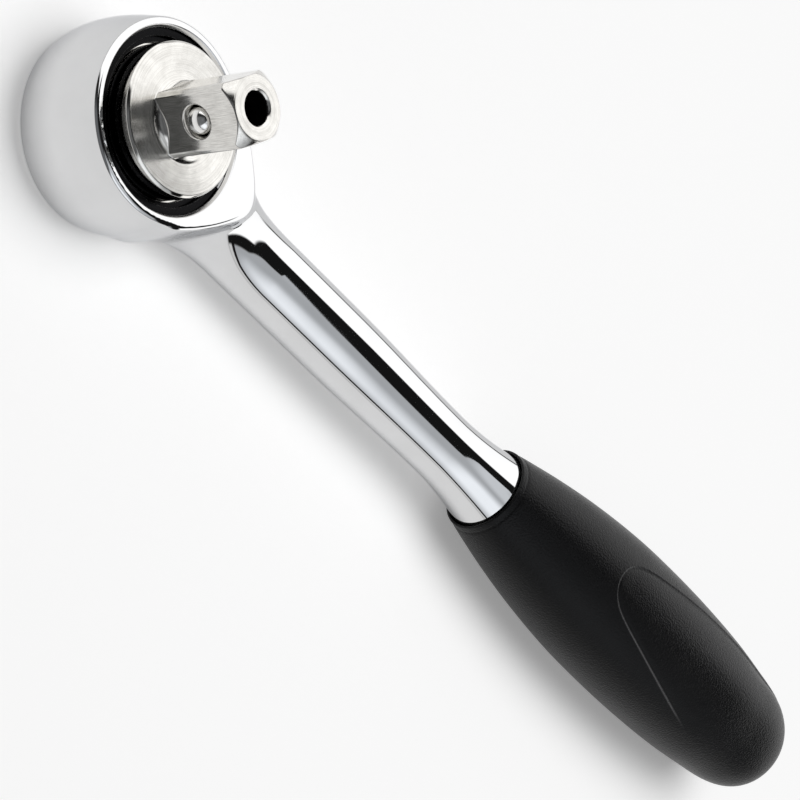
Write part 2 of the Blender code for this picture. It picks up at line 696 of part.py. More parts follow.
def make_pawls(axis, steel, spring_steel):
    """Two toothed pawls on their pins, each with a coil spring above it."""
    for side, word in ((1, "left"), (-1, "right")):
        pin = polar(PIN_ORBIT, side * (PAWL_NOSE + PAWL_ARM))
        outline = [point - pin for point in pawl_outline(side, 0)]
        place = (pin.x, pin.y, 0)
        body = prism(outline, PAWL_Z, PAWL_Z + PAWL_THICKNESS)
        pawl = finish("pawl_" + word, body, axis, steel, place)
        hole = PIN_RADIUS + FIT
        below = PAWL_Z - OVERRUN
        above = PAWL_Z + PAWL_THICKNESS + OVERRUN
        bore = turned([(0.0, below), (hole, below), (hole, above), (0.0, above)], PIN_SEGMENTS)
        combine(pawl, finish("pawl_bore_" + word, bore, axis, location=place), 'DIFFERENCE')
        top = PIN_BELOW + PIN_LENGTH
        rod = turned([(0.0, PIN_BELOW), (PIN_RADIUS, PIN_BELOW), (PIN_RADIUS, top), (0.0, top)],
                     PIN_SEGMENTS)
        finish("pawl_pin_" + word, rod, axis, steel, place)
        low = PAWL_Z + PAWL_THICKNESS + FIT + PAWL_WIRE / 2
        high = POCKET_Z + POCKET_HEIGHT - FIT - PAWL_WIRE / 2
        path = helix(PAWL_COIL, low, high, PAWL_COIL_TURNS, PAWL_COIL_STEPS)
        print("pawl spring gap", round(self_gap(path, PAWL_WIRE, PAWL_COIL_STEPS), 2), "mm")
        finish("pawl_spring_" + word, tube(path, PAWL_WIRE), axis, spring_steel, place)


def make_dial(axis, steel):
    """Reversing dial: notched rim, two finger hollows and the cam stem that works the pawls."""
    snap_floor = DIAL_RADIUS + RUN - 2 * SNAP_WIRE - FIT
    half_groove = SNAP_WIRE + FIT
    profile = [(0.0, 0.0), (DIAL_RADIUS - DIAL_CHAMFER, 0.0), (DIAL_RADIUS, DIAL_CHAMFER),
               (DIAL_RADIUS, SNAP_Z - half_groove),
               (snap_floor, SNAP_Z - half_groove), (snap_floor, SNAP_Z + half_groove),
               (DIAL_RADIUS, SNAP_Z + half_groove), (DIAL_RADIUS, DIAL_THICKNESS),
               (STEM_RADIUS, DIAL_THICKNESS), (STEM_RADIUS, STEM_TOP), (0.0, STEM_TOP)]
    dial = finish("reversing_dial", turned(profile, SPINDLE_SEGMENTS), axis, steel)
    button = BUTTON_RADIUS + RUN
    bore = [(0.0, STEM_TOP + OVERRUN), (AXIAL_BORE, STEM_TOP + OVERRUN), (AXIAL_BORE, SPRING_SEAT_Z),
            (button, SPRING_SEAT_Z), (button, -OVERRUN), (0.0, -OVERRUN)]
    combine(dial, finish("dial_bore", turned(bore, SMALL_SEGMENTS), axis), 'DIFFERENCE')
    hollow_radius = DIAL_RADIUS - DIAL_RIM
    span = math.degrees(math.acos(FINGER_BAR / 2 / hollow_radius))
    for side in (1, -1):
        hollow = arc((0, 0), hollow_radius, side * 90 - span, side * 90 + span, ARC_STEPS)
        word = "near" if side > 0 else "far"
        room = prism(hollow, -OVERRUN, FINGER_HOLLOW)
        combine(dial, finish("finger_hollow_" + word, room, axis), 'DIFFERENCE')
    reach = DIAL_TURN + math.degrees(CLICK_BALL / STEM_RADIUS) + TRACK_SPARE
    track = arc((0, 0), STEM_RADIUS + OVERRUN, 180 - reach, 180 + reach, ARC_STEPS)
    floor = STEM_BORE - CLICK_BALL - FIT
    track += arc((0, 0), floor, 180 + reach, 180 - reach, ARC_STEPS)
    cut = strip_prism(track, CLICK_Z - CLICK_BALL - FIT, STEM_TOP + OVERRUN)
    combine(dial, finish("click_track", cut, axis), 'DIFFERENCE')
    return dial


def make_dial_pieces(tool_axis, axis, steel, spring_steel):
    """Snap ring that holds the dial in the head, and the ball and spring of its detent."""
    snap = wire_ring(DIAL_RADIUS + RUN - SNAP_WIRE, SNAP_Z, SNAP_WIRE, RING_SEGMENTS)
    finish("dial_snap_ring", snap, tool_axis, spring_steel)
    ball = bmesh.new()
    bmesh.ops.create_uvsphere(ball, u_segments=12, v_segments=8, radius=CLICK_BALL)
    finish("dial_detent_ball", ball, axis, steel, (-STEM_BORE, 0, CLICK_Z))
    low = STEM_BORE + CLICK_BALL + FIT + CLICK_WIRE / 2
    high = CLICK_DEPTH - FIT - CLICK_WIRE / 2
    path = helix(CLICK_BORE - FIT - CLICK_WIRE / 2, low, high, CLICK_TURNS)
    print("dial detent spring gap", round(self_gap(path, CLICK_WIRE), 2), "mm")
    wire = tube(path, CLICK_WIRE)
    bmesh.ops.transform(wire, matrix=Matrix.Rotation(-math.pi / 2, 4, 'Y'), verts=wire.verts)
    finish("dial_detent_spring", wire, axis, spring_steel, (0, 0, CLICK_Z))


def make_release(axis, steel, spring_steel):
    """Button, plunger with its ball ramp, return spring and the detent ball in the square."""
    button_top = BUTTON_Z + BUTTON_THICKNESS
    socket_z = button_top - SPIGOT_LENGTH
    socket = SPIGOT_RADIUS + FIT
    cap = [(0.0, BUTTON_Z), (BUTTON_RADIUS - BUTTON_CHAMFER, BUTTON_Z),
           (BUTTON_RADIUS, BUTTON_Z + BUTTON_CHAMFER), (BUTTON_RADIUS, button_top), (socket, button_top),
           (socket, socket_z), (0.0, socket_z)]
    finish("release_button", turned(cap, SMALL_SEGMENTS), axis, steel)

    spigot_z = socket_z + FIT
    rod = [(0.0, spigot_z), (SPIGOT_RADIUS, spigot_z), (SPIGOT_RADIUS, button_top + FIT),
           (PLUNGER_RADIUS, button_top + FIT), (PLUNGER_RADIUS, PLUNGER_TOP - PLUNGER_CHAMFER),
           (PLUNGER_RADIUS - PLUNGER_CHAMFER, PLUNGER_TOP), (0.0, PLUNGER_TOP)]
    plunger = finish("release_plunger", turned(rod, SMALL_SEGMENTS), axis, steel)
    slope = math.atan2(BALL_TRAVEL, BUTTON_TRAVEL)
    room = BALL_RADIUS + FIT
    run = math.hypot(BALL_TRAVEL, BUTTON_TRAVEL)
    ramp = [(-room, room), (-room, -run - room), (2 * SQUARE, -run - room), (2 * SQUARE, room)]
    notch = prism(ramp, -SQUARE, SQUARE)
    turn = Matrix.Rotation(math.pi / 2, 4, 'X')
    lean = Matrix.Rotation(slope, 4, 'Y')
    bmesh.ops.transform(notch, matrix=lean @ turn, verts=notch.verts)
    combine(plunger, finish("ball_ramp", notch, axis, location=(BALL_REACH, 0, BALL_Z)), 'DIFFERENCE')

    low = button_top + FIT + SPRING_WIRE / 2
    high = SPRING_SEAT_Z - FIT - SPRING_WIRE / 2
    path = helix(SPRING_COIL, low, high, SPRING_TURNS)
    print("release spring gap", round(self_gap(path, SPRING_WIRE), 2), "mm")
    finish("release_spring", tube(path, SPRING_WIRE), axis, spring_steel)

    ball = bmesh.new()
    bmesh.ops.create_uvsphere(ball, u_segments=18, v_segments=10, radius=BALL_RADIUS)
    bmesh.ops.transform(ball, matrix=Matrix.Rotation(math.pi / 2, 4, 'Y'), verts=ball.verts)
    finish("drive_detent_ball", ball, axis, steel, (BALL_REACH, 0, BALL_Z))


def build():
    """Make every piece on its axis."""
    clear_scene()
    chrome = make_material("polished_chrome", (0.82, 0.83, 0.85), 0.08, 1.0)
    bright = make_material("bright_turned_steel", (0.74, 0.72, 0.69), 0.2, 1.0)
    hardened = make_material("hardened_steel", (0.42, 0.41, 0.40), 0.35, 1.0)
    spring_steel = make_material("spring_steel", (0.33, 0.32, 0.31), 0.3, 1.0)
    black_steel = make_material("blackened_steel", (0.02, 0.02, 0.022), 0.35, 0.6)
    bronze = make_material("bearing_bronze", (0.62, 0.42, 0.2), 0.35, 1.0)
    rubber = make_material("black_soft_grip", (0.016, 0.016, 0.017), 0.6, 0.0)
    seal_rubber = make_material("seal_rubber", (0.01, 0.01, 0.01), 0.7, 0.0)

    rings = grip_rings()
    tilt = resting_tilt(rings)
    reach = max(p.x * math.cos(tilt) - p.z * math.sin(tilt) for ring in rings for p in ring)
    tool_axis = make_axis("drive_axis", location=((HEAD_BELLY_RADIUS - reach) / 2, 0, 0))
    handle_axis = make_axis("handle_axis", tool_axis, (0, 0, HANDLE_AXIS_Z), tilt=tilt)
    spindle_axis = make_axis("spindle_axis", tool_axis, heading=SPINDLE_ANGLE)
    make_forging(tool_axis, handle_axis, tilt, chrome)
    make_grip(handle_axis, rings, rubber)
    make_spindle(spindle_axis, bright)
    make_front_pieces(tool_axis, black_steel)
    make_bearings(tool_axis, spindle_axis, bronze, seal_rubber)
    make_pawls(spindle_axis, hardened, spring_steel)
    make_dial(spindle_axis, bright)
    make_dial_pieces(tool_axis, spindle_axis, hardened, spring_steel)
    make_release(spindle_axis, bright, spring_steel)


build()
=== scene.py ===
"""Looks of the round head ratchet: chrome forging, turned drive end, black moulded grip.

Shapes are worked out in millimetres about the drive axis, with the handle along +X, and are put in
the part's frame in metres when a piece is finished.
"""

import math

import bmesh
import bpy
import numpy as np
from mathutils import Matrix, Vector


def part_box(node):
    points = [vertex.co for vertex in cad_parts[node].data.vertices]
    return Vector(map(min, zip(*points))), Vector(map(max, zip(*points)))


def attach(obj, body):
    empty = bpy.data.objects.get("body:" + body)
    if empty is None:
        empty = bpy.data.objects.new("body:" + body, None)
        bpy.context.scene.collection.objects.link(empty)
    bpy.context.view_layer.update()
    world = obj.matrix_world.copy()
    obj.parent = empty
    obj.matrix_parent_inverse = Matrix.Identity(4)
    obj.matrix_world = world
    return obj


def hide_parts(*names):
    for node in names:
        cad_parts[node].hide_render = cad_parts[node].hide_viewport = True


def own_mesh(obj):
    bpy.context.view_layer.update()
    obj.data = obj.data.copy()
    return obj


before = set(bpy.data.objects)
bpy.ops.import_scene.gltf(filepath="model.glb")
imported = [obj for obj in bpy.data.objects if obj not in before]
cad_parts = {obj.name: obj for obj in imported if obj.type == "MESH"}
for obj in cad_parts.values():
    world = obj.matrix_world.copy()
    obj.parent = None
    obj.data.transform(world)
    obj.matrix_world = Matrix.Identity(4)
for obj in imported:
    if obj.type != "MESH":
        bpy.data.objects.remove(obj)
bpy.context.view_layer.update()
MM = 0.001
TINY = 1e-6

# Places and sizes in millimetres, most of them shared with the CAD solids
WASHER_LOW, WASHER_HIGH = (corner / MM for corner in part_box("cover_washer"))
DRIVE_X = (WASHER_LOW.x + WASHER_HIGH.x) / 2
HEADING = math.radians(232.5)           # of the flat with the detent ball

# Head barrel, with a lobe at its front edge that leads into the neck
FACE_Z, BACK_Z = 22.75, 0.8
FACE_ROUND, BACK_ROUND = 0.85, 1.2
BELLY = 21.35
BULGE_Z, BULGE_TALL = 1.75, 20.05
EDGE_BACK, EDGE_MORE = 19.4, 0.75       # radius at the back, and what it gains towards the front
LOBE_OUT, LOBE_DEEP, LOBE_POWER = 5.5, 6.5, 2.5
LOBE_WIDTH, LOBE_BLUNT, LOBE_SHIFT = 80.0, 4.0, 3.0     # degrees round the drive axis

# Neck, shank and tang
TILT = math.radians(2.2465)
AXIS_Z = 8.4
SHANK, WAIST, MOUTH = 8.15, 7.5, 9.1    # radii
TAPER_X, WAIST_X, MOUTH_X = 70.0, 107.0, 124.3
FLARE_LIMIT = 1.1
TUCK_START, TUCK_RUN, TUCK = 1.5, 3.0, 3.2              # the shank draws in under the grip
SIDE_FILLET, TOP_FILLET = 35.0, 40.0
FILLET_USED = 0.97                      # share of a fillet's radius that it climbs over
PAD_X = 26.0
NECK_POWER, NECK_BLEND = 2.3, 4.0
HANDLE_START, START_ROUND = 13.7, 3.0
STUB, STUB_ROUND = 4.8, 0.8
TANG, TANG_START, TANG_LENGTH, TANG_BEVEL = 6.4, 4.0, 82.0, 1.5

# Bores of the head, from front to back
CLEAR = 3.0                             # how far a cutting shape stands out of the head
BORE, LIP = 17.95, 0.85
RING_GROOVE, RING_GROOVE_LOW, RING_GROOVE_HIGH = 18.8, 20.4, 21.8
SHOULDER_BORE, SHOULDER_TOP = 16.9, 19.6
TEETH, TOOTH_TIP, TOOTH_ROOT, TOOTH_BACK = 48, 15.0, 15.85, 16.3
TEETH_LOW, TEETH_HIGH, TOOTH_BEVEL = 8.0, 17.2, 0.25
TOOTH_LAND = 0.08                       # flat of a tip or a root, as a share of the pitch
WEB_HOLE, WEB_Z = 10.99, 5.0
RECESS, RECESS_BEVEL = 13.9, 0.25
SNAP_GROOVE, SNAP_LOW, SNAP_HIGH = 14.65, 2.35, 3.85
BEVEL_OUT, BEVEL_BELOW = 16.0, 1.85     # where the bevel of the recess leaves the head

# Drive end
DISC, DISC_Z, DISC_BEVEL = 15.0, 25.9, 0.45
FLANGE, FLANGE_Z, CORE_TOP = 16.6, 19.3, 19.1
END_Z, END_RADIUS = 44.85, 6.3
END_BORE, END_BORE_BEVEL = 3.3, 0.35
SQUARE, SQUARE_BEVEL, SQUARE_FOOT = 12.7, 0.95, 0.6
COLLAR, FILLET, FILLET_OUT = 8.85, 2.5, 0.3
BALL, BALL_Z, BALL_PROUD, BALL_PLAY = 2.75, 34.9, 1.15, 0.12
BALL_OUT = SQUARE / 2 + BALL_PROUD - BALL
DISH, DISH_DEEP, DISH_POWER = 0.5, 1.4, 1.5             # worn mouth of the ball's hole
FAR_OUT = -9.0                          # a field's value well away from a cut

# Black rings in the bore: inner radius, outer radius, low and high
WASHER = (15.3, 17.65, 19.7, 20.4)
SPRING_RING = (16.4, 18.5, 20.7, 21.5)
SPRING_RING_GAP = 7                     # degrees on each side of its opening

# Dial and springs
DIAL, DIAL_TALL, DIAL_BORE, STEM_LOW = 13.5, 4.7, 4.75, 4.6
BAR_HALF, HOLLOW, HOLLOW_RUN = 6.3, 12.1, 5.8
HOLLOW_DEEP, HOLLOW_LIFT = 1.7, 0.35
CLICK_Z, CLICK_SPAN = 12.3, (9.575, 12.425)

# Grip: half widths at distances from its mouth, then its domed end
MOUTH_GAP = 0.3
GRIP_START = MOUTH_X + MOUTH_GAP
GRIP_STATIONS = ((0.0, 9.9), (4.5, 10.9), (15.0, 12.95), (27.0, 14.8), (41.0, 16.2),
                 (55.0, 16.6), (69.0, 16.4), (83.0, 15.6), (95.0, 14.2))
GRIP_ROUND, DOME_POWER, DOME_DRAW = 16.5, 0.35, 1.93
GRIP_OVAL, OVAL_SHARE = 0.07, 0.4
LEAST_HALF = 6.0                        # for arcs near the end, where the grip closes
GRIP_UNDER, UNDER_RUN = 0.987, 30.0
BEAD_AT, BEAD_WIDE, BEAD_DEEP = 1.7, 0.34, 0.11
SOCKET_END, SOCKET = TANG_LENGTH + 0.1, TANG + 0.05
# Outline of the socket and the lip at the mouth, as distance from the mouth and radius
GRIP_LIP = ((SOCKET_END, SOCKET), (5.0, SOCKET), (5.0, 9.35), (2.0, 9.35), (0.9, 9.38), (0.35, 9.45),
            (0.08, 9.6), (0.0, 9.78), (0.12, 10.0), (0.45, 10.08))

# Thumb panel: its edge leaves the tip bluntly and widens, in degrees, on each side of the middle
PANEL_TIP, PANEL_ANGLE = 158.4, 7.0
PANEL_LAST, PANEL_FADE, PANEL_FADE_LESS = 214.0, 26, 14
PANEL_DROP, PANEL_SAG, PANEL_SAG_RUN = 0.34, 0.2, 9.0
PANEL_TURN_FROM, PANEL_TURN_RUN = 25, 45
PANEL_LEAST, PANEL_MOST, PANEL_ROOM = 5.0, 62.0, 2.2
STEP_HALF = 0.2                         # half width of the step at the edge
GUTTER, GUTTER_IN, GUTTER_WIDE = 0.33, 0.55, 0.3
# Painted highlight along the thumb panel's edge: how far inside the edge it lies and how wide it is
HIGHLIGHT_IN, HIGHLIGHT_WIDE = 0.02, 0.2
TIP_FROM, TIP_TO, TIP_TRACE = 3.0, 8.0, 9.0             # where the tip's own edge gives way
MIDDLE_LINES, BACK_LINES, TRACE_POINTS = 18, 84, 1200
# Each side's last entry is its share of the painted highlight along the panel's edge: full on the side that
# faces the light, a quarter on the other
PANEL_SIDES = (
    {"sign": 1, "blunt": 18.5, "tip": 0.7, "widen": 0.82, "turn_in": 0.0, "last": 203.0, "deep": 0.42,
     "highlight_share": 1.0},
    {"sign": -1, "blunt": 21.6, "tip": 0.75, "widen": 0.585, "turn_in": 0.0055, "last": 232.0, "deep": 0.24,
     "highlight_share": 0.25})
BESIDE_EDGE = np.array((0.07, 0.14, 0.22, 0.32, 0.46, 0.65, 0.95, 1.4))

# Meshing of the fields: corners of the block of cells and the size of a cell
FORGING_BLOCK = ((-22.5, -22.5, -0.5), (132.0, 22.5, 24.5), 0.42)
SQUARE_BLOCK = ((-9.4, -9.4, DISC_Z - 1.2), (9.4, 9.4, END_Z + 0.6), 0.17)
DIAL_BLOCK = ((-14.2, -14.2, -0.6), (14.2, 14.2, 5.4), 0.24)
PULLS, LEAST_SLOPE = 6, 0.05


# Fields: each gives a signed distance in millimetres, below zero inside the metal


def soft_min(a, b, blend):
    """The smaller of two fields, flowing into one another where they come close."""
    near = np.clip(blend - np.abs(a - b), 0, None) / blend
    return np.minimum(a, b) - near * near * blend / 4


def soft_max(a, b, blend):
    return -soft_min(-a, -b, blend)


def fillet_rise(x, fillet, start, most):
    """Height that a fillet adds to the shank towards the head."""
    along = np.clip(start - x, 0, fillet * FILLET_USED)
    return np.minimum(fillet - np.sqrt(fillet**2 - along**2), most)


def shank_radius(u):
    """Even, then a long taper to the waist, then a flare to the grip's mouth."""
    taper = np.clip((u - TAPER_X) / (WAIST_X - TAPER_X), 0, 1)
    flare = np.clip((u - WAIST_X) / (MOUTH_X - WAIST_X), 0, FLARE_LIMIT)
    tuck = np.clip((u - MOUTH_X - TUCK_START) / TUCK_RUN, 0, 1)
    swell = SHANK + (WAIST - SHANK) * (1 - np.cos(np.pi * taper)) / 2 + (MOUTH - WAIST) * flare**2
    return swell - TUCK * tuck**2


def forging_field(x, y, z):
    """Head barrel and handle flowing into one another, trimmed flat at the front and the back."""
    share = (z - BULGE_Z) / BULGE_TALL
    edge = EDGE_BACK + EDGE_MORE * share
    off_axis = np.sqrt(np.degrees(np.arctan2(y, x))**2 + LOBE_BLUNT**2) - LOBE_SHIFT
    lobe = np.clip(1 - off_axis / LOBE_WIDTH, 0, 1)**LOBE_POWER * np.exp(-((FACE_Z - z) / LOBE_DEEP)**2)
    bulge = edge + (BELLY - edge) * (1 - (2 * share - 1)**2)
    barrel = np.hypot(x, y) - bulge - LOBE_OUT * lobe
    u = x * math.cos(TILT) + (z - AXIS_Z) * math.sin(TILT)
    w = (z - AXIS_Z) * math.cos(TILT) - x * math.sin(TILT)
    radius = shank_radius(u)
    side_start = math.sqrt((BELLY + SIDE_FILLET)**2 - (SHANK + SIDE_FILLET)**2)
    rise = FACE_Z - AXIS_Z - PAD_X * math.tan(TILT) - SHANK
    top_start = PAD_X + math.sqrt(TOP_FILLET**2 - (TOP_FILLET - rise)**2)
    wide = radius + fillet_rise(u, SIDE_FILLET, side_start, BELLY / 2)
    tall = radius + fillet_rise(u, TOP_FILLET, top_start, BELLY)
    power = 2 + (NECK_POWER - 2) * np.clip((top_start - u) / (top_start - BELLY), 0, 1)**2
    upper = ((np.abs(y) / wide)**power + (np.clip(w, 0, None) / tall)**power)**(1 / power)
    lower = np.hypot(y / wide, w / radius)
    reach = np.maximum(np.where(w > 0, upper, lower), TINY)
    handle = np.hypot(y, w) * (1 - 1 / reach)
    handle = soft_max(handle, HANDLE_START - u, START_ROUND)
    handle = soft_max(handle, u - (MOUTH_X + STUB), STUB_ROUND)
    body = soft_min(barrel, handle, NECK_BLEND)
    return soft_max(soft_max(body, z - FACE_Z, FACE_ROUND), BACK_Z - z, BACK_ROUND)


def square_field(x, y, z):
    """The drive square in its own heading: bevelled corners, turned end, collar fillet and bores."""
    crisp, broken, end_edge, bore_edge = 0.1, 0.25, 0.2, 0.12
    r = np.hypot(x, y)
    half = SQUARE / 2
    flats = soft_max(np.abs(x) - half, np.abs(y) - half, crisp)
    corners = (np.abs(x) + np.abs(y) - (SQUARE - SQUARE_BEVEL)) / math.sqrt(2)
    body = soft_max(flats, corners, broken)
    turned_end = (r + z - (END_Z + END_RADIUS)) / math.sqrt(2)
    body = soft_max(soft_max(body, turned_end, broken), z - END_Z, end_edge)
    toe = FILLET - np.hypot(COLLAR - r, DISC_Z + FILLET - z)
    past_toe = np.maximum(r - COLLAR, z - DISC_Z) + FILLET_OUT
    toe = np.where((r < COLLAR) & (z < DISC_Z + FILLET), toe, past_toe)
    body = soft_min(body, toe, broken)
    bore = np.maximum(END_BORE - r, END_BORE + END_BORE_BEVEL - r - (END_Z - z))
    body = soft_max(body, bore, bore_edge)
    around = np.hypot(y, z - BALL_Z)
    dish = np.clip(1 - (half - x) / DISH_DEEP, 0, 1)
    pocket = np.where(x > 0, BALL + BALL_PLAY + DISH * dish**DISH_POWER - around, FAR_OUT)
    body = soft_max(body, pocket, bore_edge)
    return soft_max(body, DISC_Z - SQUARE_FOOT - z, crisp)


def dial_field(x, y, z):
    """Reversing dial: rounded rim and two finger hollows with a bar between them."""
    rim, top, corner, foot, edge, bore = 0.9, 0.3, 1.6, 1.2, 0.5, 0.4
    r = np.hypot(x, y)
    body = soft_max(r - DIAL, -z, rim)
    body = soft_max(body, z - DIAL_TALL, top)
    scoop = soft_max(BAR_HALF - np.abs(y), r - HOLLOW, corner)
    floor = HOLLOW_DEEP - HOLLOW_LIFT * (1 - np.clip((HOLLOW - np.abs(y)) / HOLLOW_RUN, 0, 1))
    hollow = soft_max(scoop, z - floor, foot)
    body = soft_max(body, -hollow, edge)
    return soft_max(body, DIAL_BORE - r, bore)


# Mesh making


def skin_of(field, low, high, step):
    """Quads over the zero surface of a field, with every point put on the surface."""
    axes = [np.arange(a, b + step, step) for a, b in zip(low, high)]
    value = field(*np.meshgrid(*axes, indexing="ij"))
    inside = value < 0
    long, wide, tall = (size - 1 for size in inside.shape)
    count = sum(inside[i:i + long, j:j + wide, k:k + tall].astype(np.int8)
                for i in (0, 1) for j in (0, 1) for k in (0, 1))
    cells = (count > 0) & (count < 8)
    index = np.full(cells.shape, -1)
    index[cells] = np.arange(cells.sum())
    points = np.stack([axes[d][where] + step / 2 for d, where in enumerate(np.nonzero(cells))], 1)
    quads = []
    for axis in range(3):
        here = np.take(inside, range(inside.shape[axis] - 1), axis)
        there = np.take(inside, range(1, inside.shape[axis]), axis)
        one, two = (axis + 1) % 3, (axis + 2) % 3
        for flip in (False, True):
            where = np.array(np.nonzero((there & ~here) if flip else (here & ~there)))
            corners = []
            for da, db in ((-1, -1), (0, -1), (0, 0), (-1, 0)):
                cell = where.copy()
                cell[one] += da
                cell[two] += db
                corners.append(index[tuple(cell)])
            face = np.stack(corners, 1)
            quads.append(face[:, ::-1] if flip else face)
    for _ in range(PULLS):
        slope = slope_of(field, points)
        size = np.maximum((slope**2).sum(1), LEAST_SLOPE)
        points -= np.clip(field(*points.T) / size, -step, step)[:, None] * slope
    return points, np.concatenate(quads)


def slope_of(field, points, step=0.01):
    shifts = np.eye(3) * step
    return np.stack([(field(*(points + s).T) - field(*(points - s).T)) / (2 * step) for s in shifts], 1)


def new_object(name, data):
    made = bpy.data.objects.new(name, data)
    bpy.context.scene.collection.objects.link(made)
    return made


def piece_from(name, points, faces):
    mesh = bpy.data.meshes.new(name)
    mesh.from_pydata(np.asarray(points).tolist(), [], [list(map(int, face)) for face in faces])
    mesh.update()
    return new_object(name, mesh)


def lathe(name, profile, segments, closed=True):
    """Revolve an outline of (radius, height) points; a point on the axis becomes a pole."""
    points, rows = [], []
    turn = np.linspace(0, 2 * np.pi, segments, endpoint=False)
    for radius, height in profile:
        if radius < TINY:
            rows.append([len(points)] * segments)
            points.append((0, 0, height))
        else:
            rows.append(list(range(len(points), len(points) + segments)))
            points += list(zip(radius * np.cos(turn), radius * np.sin(turn), [height] * segments))
    faces = []
    last = len(rows) if closed else len(rows) - 1
    for i in range(last):
        here, there = rows[i], rows[(i + 1) % len(rows)]
        for k in range(segments):
            n = (k + 1) % segments
            loop = []
            for corner in (here[k], here[n], there[n], there[k]):
                if corner not in loop:
                    loop.append(corner)
            if len(loop) > 2:
                faces.append(loop)
    made = piece_from(name, points, faces)
    outward(made)
    return made


def outward(piece):
    """Close the seams and turn every face outwards."""
    bm = bmesh.new()
    bm.from_mesh(piece.data)
    bmesh.ops.remove_doubles(bm, verts=bm.verts, dist=1e-5)
    bmesh.ops.recalc_face_normals(bm, faces=bm.faces)
    bm.to_mesh(piece.data)
    bm.free()


def rounded(profile, sizes, steps=4):
    """Round the corners of a closed outline; a size of zero leaves a corner sharp."""
    made = []
    count = len(profile)
    for i, (point, size) in enumerate(zip(profile, sizes)):
        here = Vector(point)
        if size == 0:
            made.append(tuple(here))
            continue
        before = (Vector(profile[i - 1]) - here).normalized()
        after = (Vector(profile[(i + 1) % count]) - here).normalized()
        for k in range(steps + 1):
            t = k / steps
            made.append(tuple(here + before * size * (1 - t)**2 + after * size * t**2))
    return made


def ring_section(inner, outer, low, high, corner):
    return rounded([(inner, low), (outer, low), (outer, high), (inner, high)], [corner] * 4)


def cut_out(piece, tool):
    """Take one shape out of another and drop it."""
    step = piece.modifiers.new("cut", "BOOLEAN")
    step.operation = "DIFFERENCE"
    step.object = tool
    step.solver = "EXACT"
    step.material_mode = "TRANSFER"
    settle(piece)
    bpy.data.objects.remove(tool)


def settle(piece):
    """Turn what the modifiers give into a plain mesh."""
    bpy.context.view_layer.update()
    shape = piece.evaluated_get(bpy.context.evaluated_depsgraph_get())
    mesh = bpy.data.meshes.new_from_object(shape)
    piece.modifiers.clear()
    old = piece.data
    piece.data = mesh
    bpy.data.meshes.remove(old)


def shade(piece, angle=35):
    piece.data.shade_smooth()
    piece.data.set_sharp_from_angle(angle=math.radians(angle))


def shade_by_field(piece, field):
    """Normals straight from the field on the faces that have the piece's first material."""
    mesh = piece.data
    shade(piece)
    count = len(mesh.loops)
    normals = np.zeros(count * 3, np.float32)
    mesh.corner_normals.foreach_get("vector", normals)
    normals = normals.reshape(-1, 3)
    places = np.zeros(len(mesh.vertices) * 3)
    mesh.vertices.foreach_get("co", places)
    slope = slope_of(field, places.reshape(-1, 3))
    slope /= np.maximum(np.linalg.norm(slope, axis=1, keepdims=True), 1e-9)
    corner = np.zeros(count, int)
    mesh.loops.foreach_get("vertex_index", corner)
    slots = np.zeros(len(mesh.polygons), int)
    mesh.polygons.foreach_get("material_index", slots)
    sizes = np.zeros(len(mesh.polygons), int)
    mesh.polygons.foreach_get("loop_total", sizes)
    chosen = np.repeat(slots == 0, sizes)
    normals[chosen] = slope[corner[chosen]]
    mesh.normals_split_custom_set(normals.tolist())


def place(piece, heading=0.0):
    """Move a shape from the drive axis, in millimetres, to the part's frame, in metres."""
    turned = Matrix.Rotation(heading, 4, "Z")
    piece.data.transform(Matrix.Translation((DRIVE_X * MM, 0, 0)) @ turned @ Matrix.Scale(MM, 4))
    piece.data.update()


def sawn_off(name, node, level, below):
    """The part of a CAD node below or above a level, in millimetres, as a closed shape of its own."""
    bm = bmesh.new()
    bm.from_mesh(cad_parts[node].data)
    bmesh.ops.remove_doubles(bm, verts=bm.verts, dist=TINY)
    made = bmesh.ops.bisect_plane(bm, geom=[*bm.verts, *bm.edges, *bm.faces], dist=1e-7,
                                  plane_co=(0, 0, level * MM), plane_no=(0, 0, 1),
                                  clear_outer=below, clear_inner=not below)
    rim = [edge for edge in made["geom_cut"] if isinstance(edge, bmesh.types.BMEdge)]
    bmesh.ops.triangle_fill(bm, edges=rim, use_beauty=True)
    bmesh.ops.recalc_face_normals(bm, faces=bm.faces)
    mesh = bpy.data.meshes.new(name)
    bm.to_mesh(mesh)
    bm.free()
    return new_object(name, mesh)


def hand_over(piece, body, slot, *nodes):
    """Say which body a piece rides on and hide the CAD nodes it stands for; the slot is not used."""
    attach(piece, body)
    if nodes:
        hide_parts(*nodes)


# Node maths


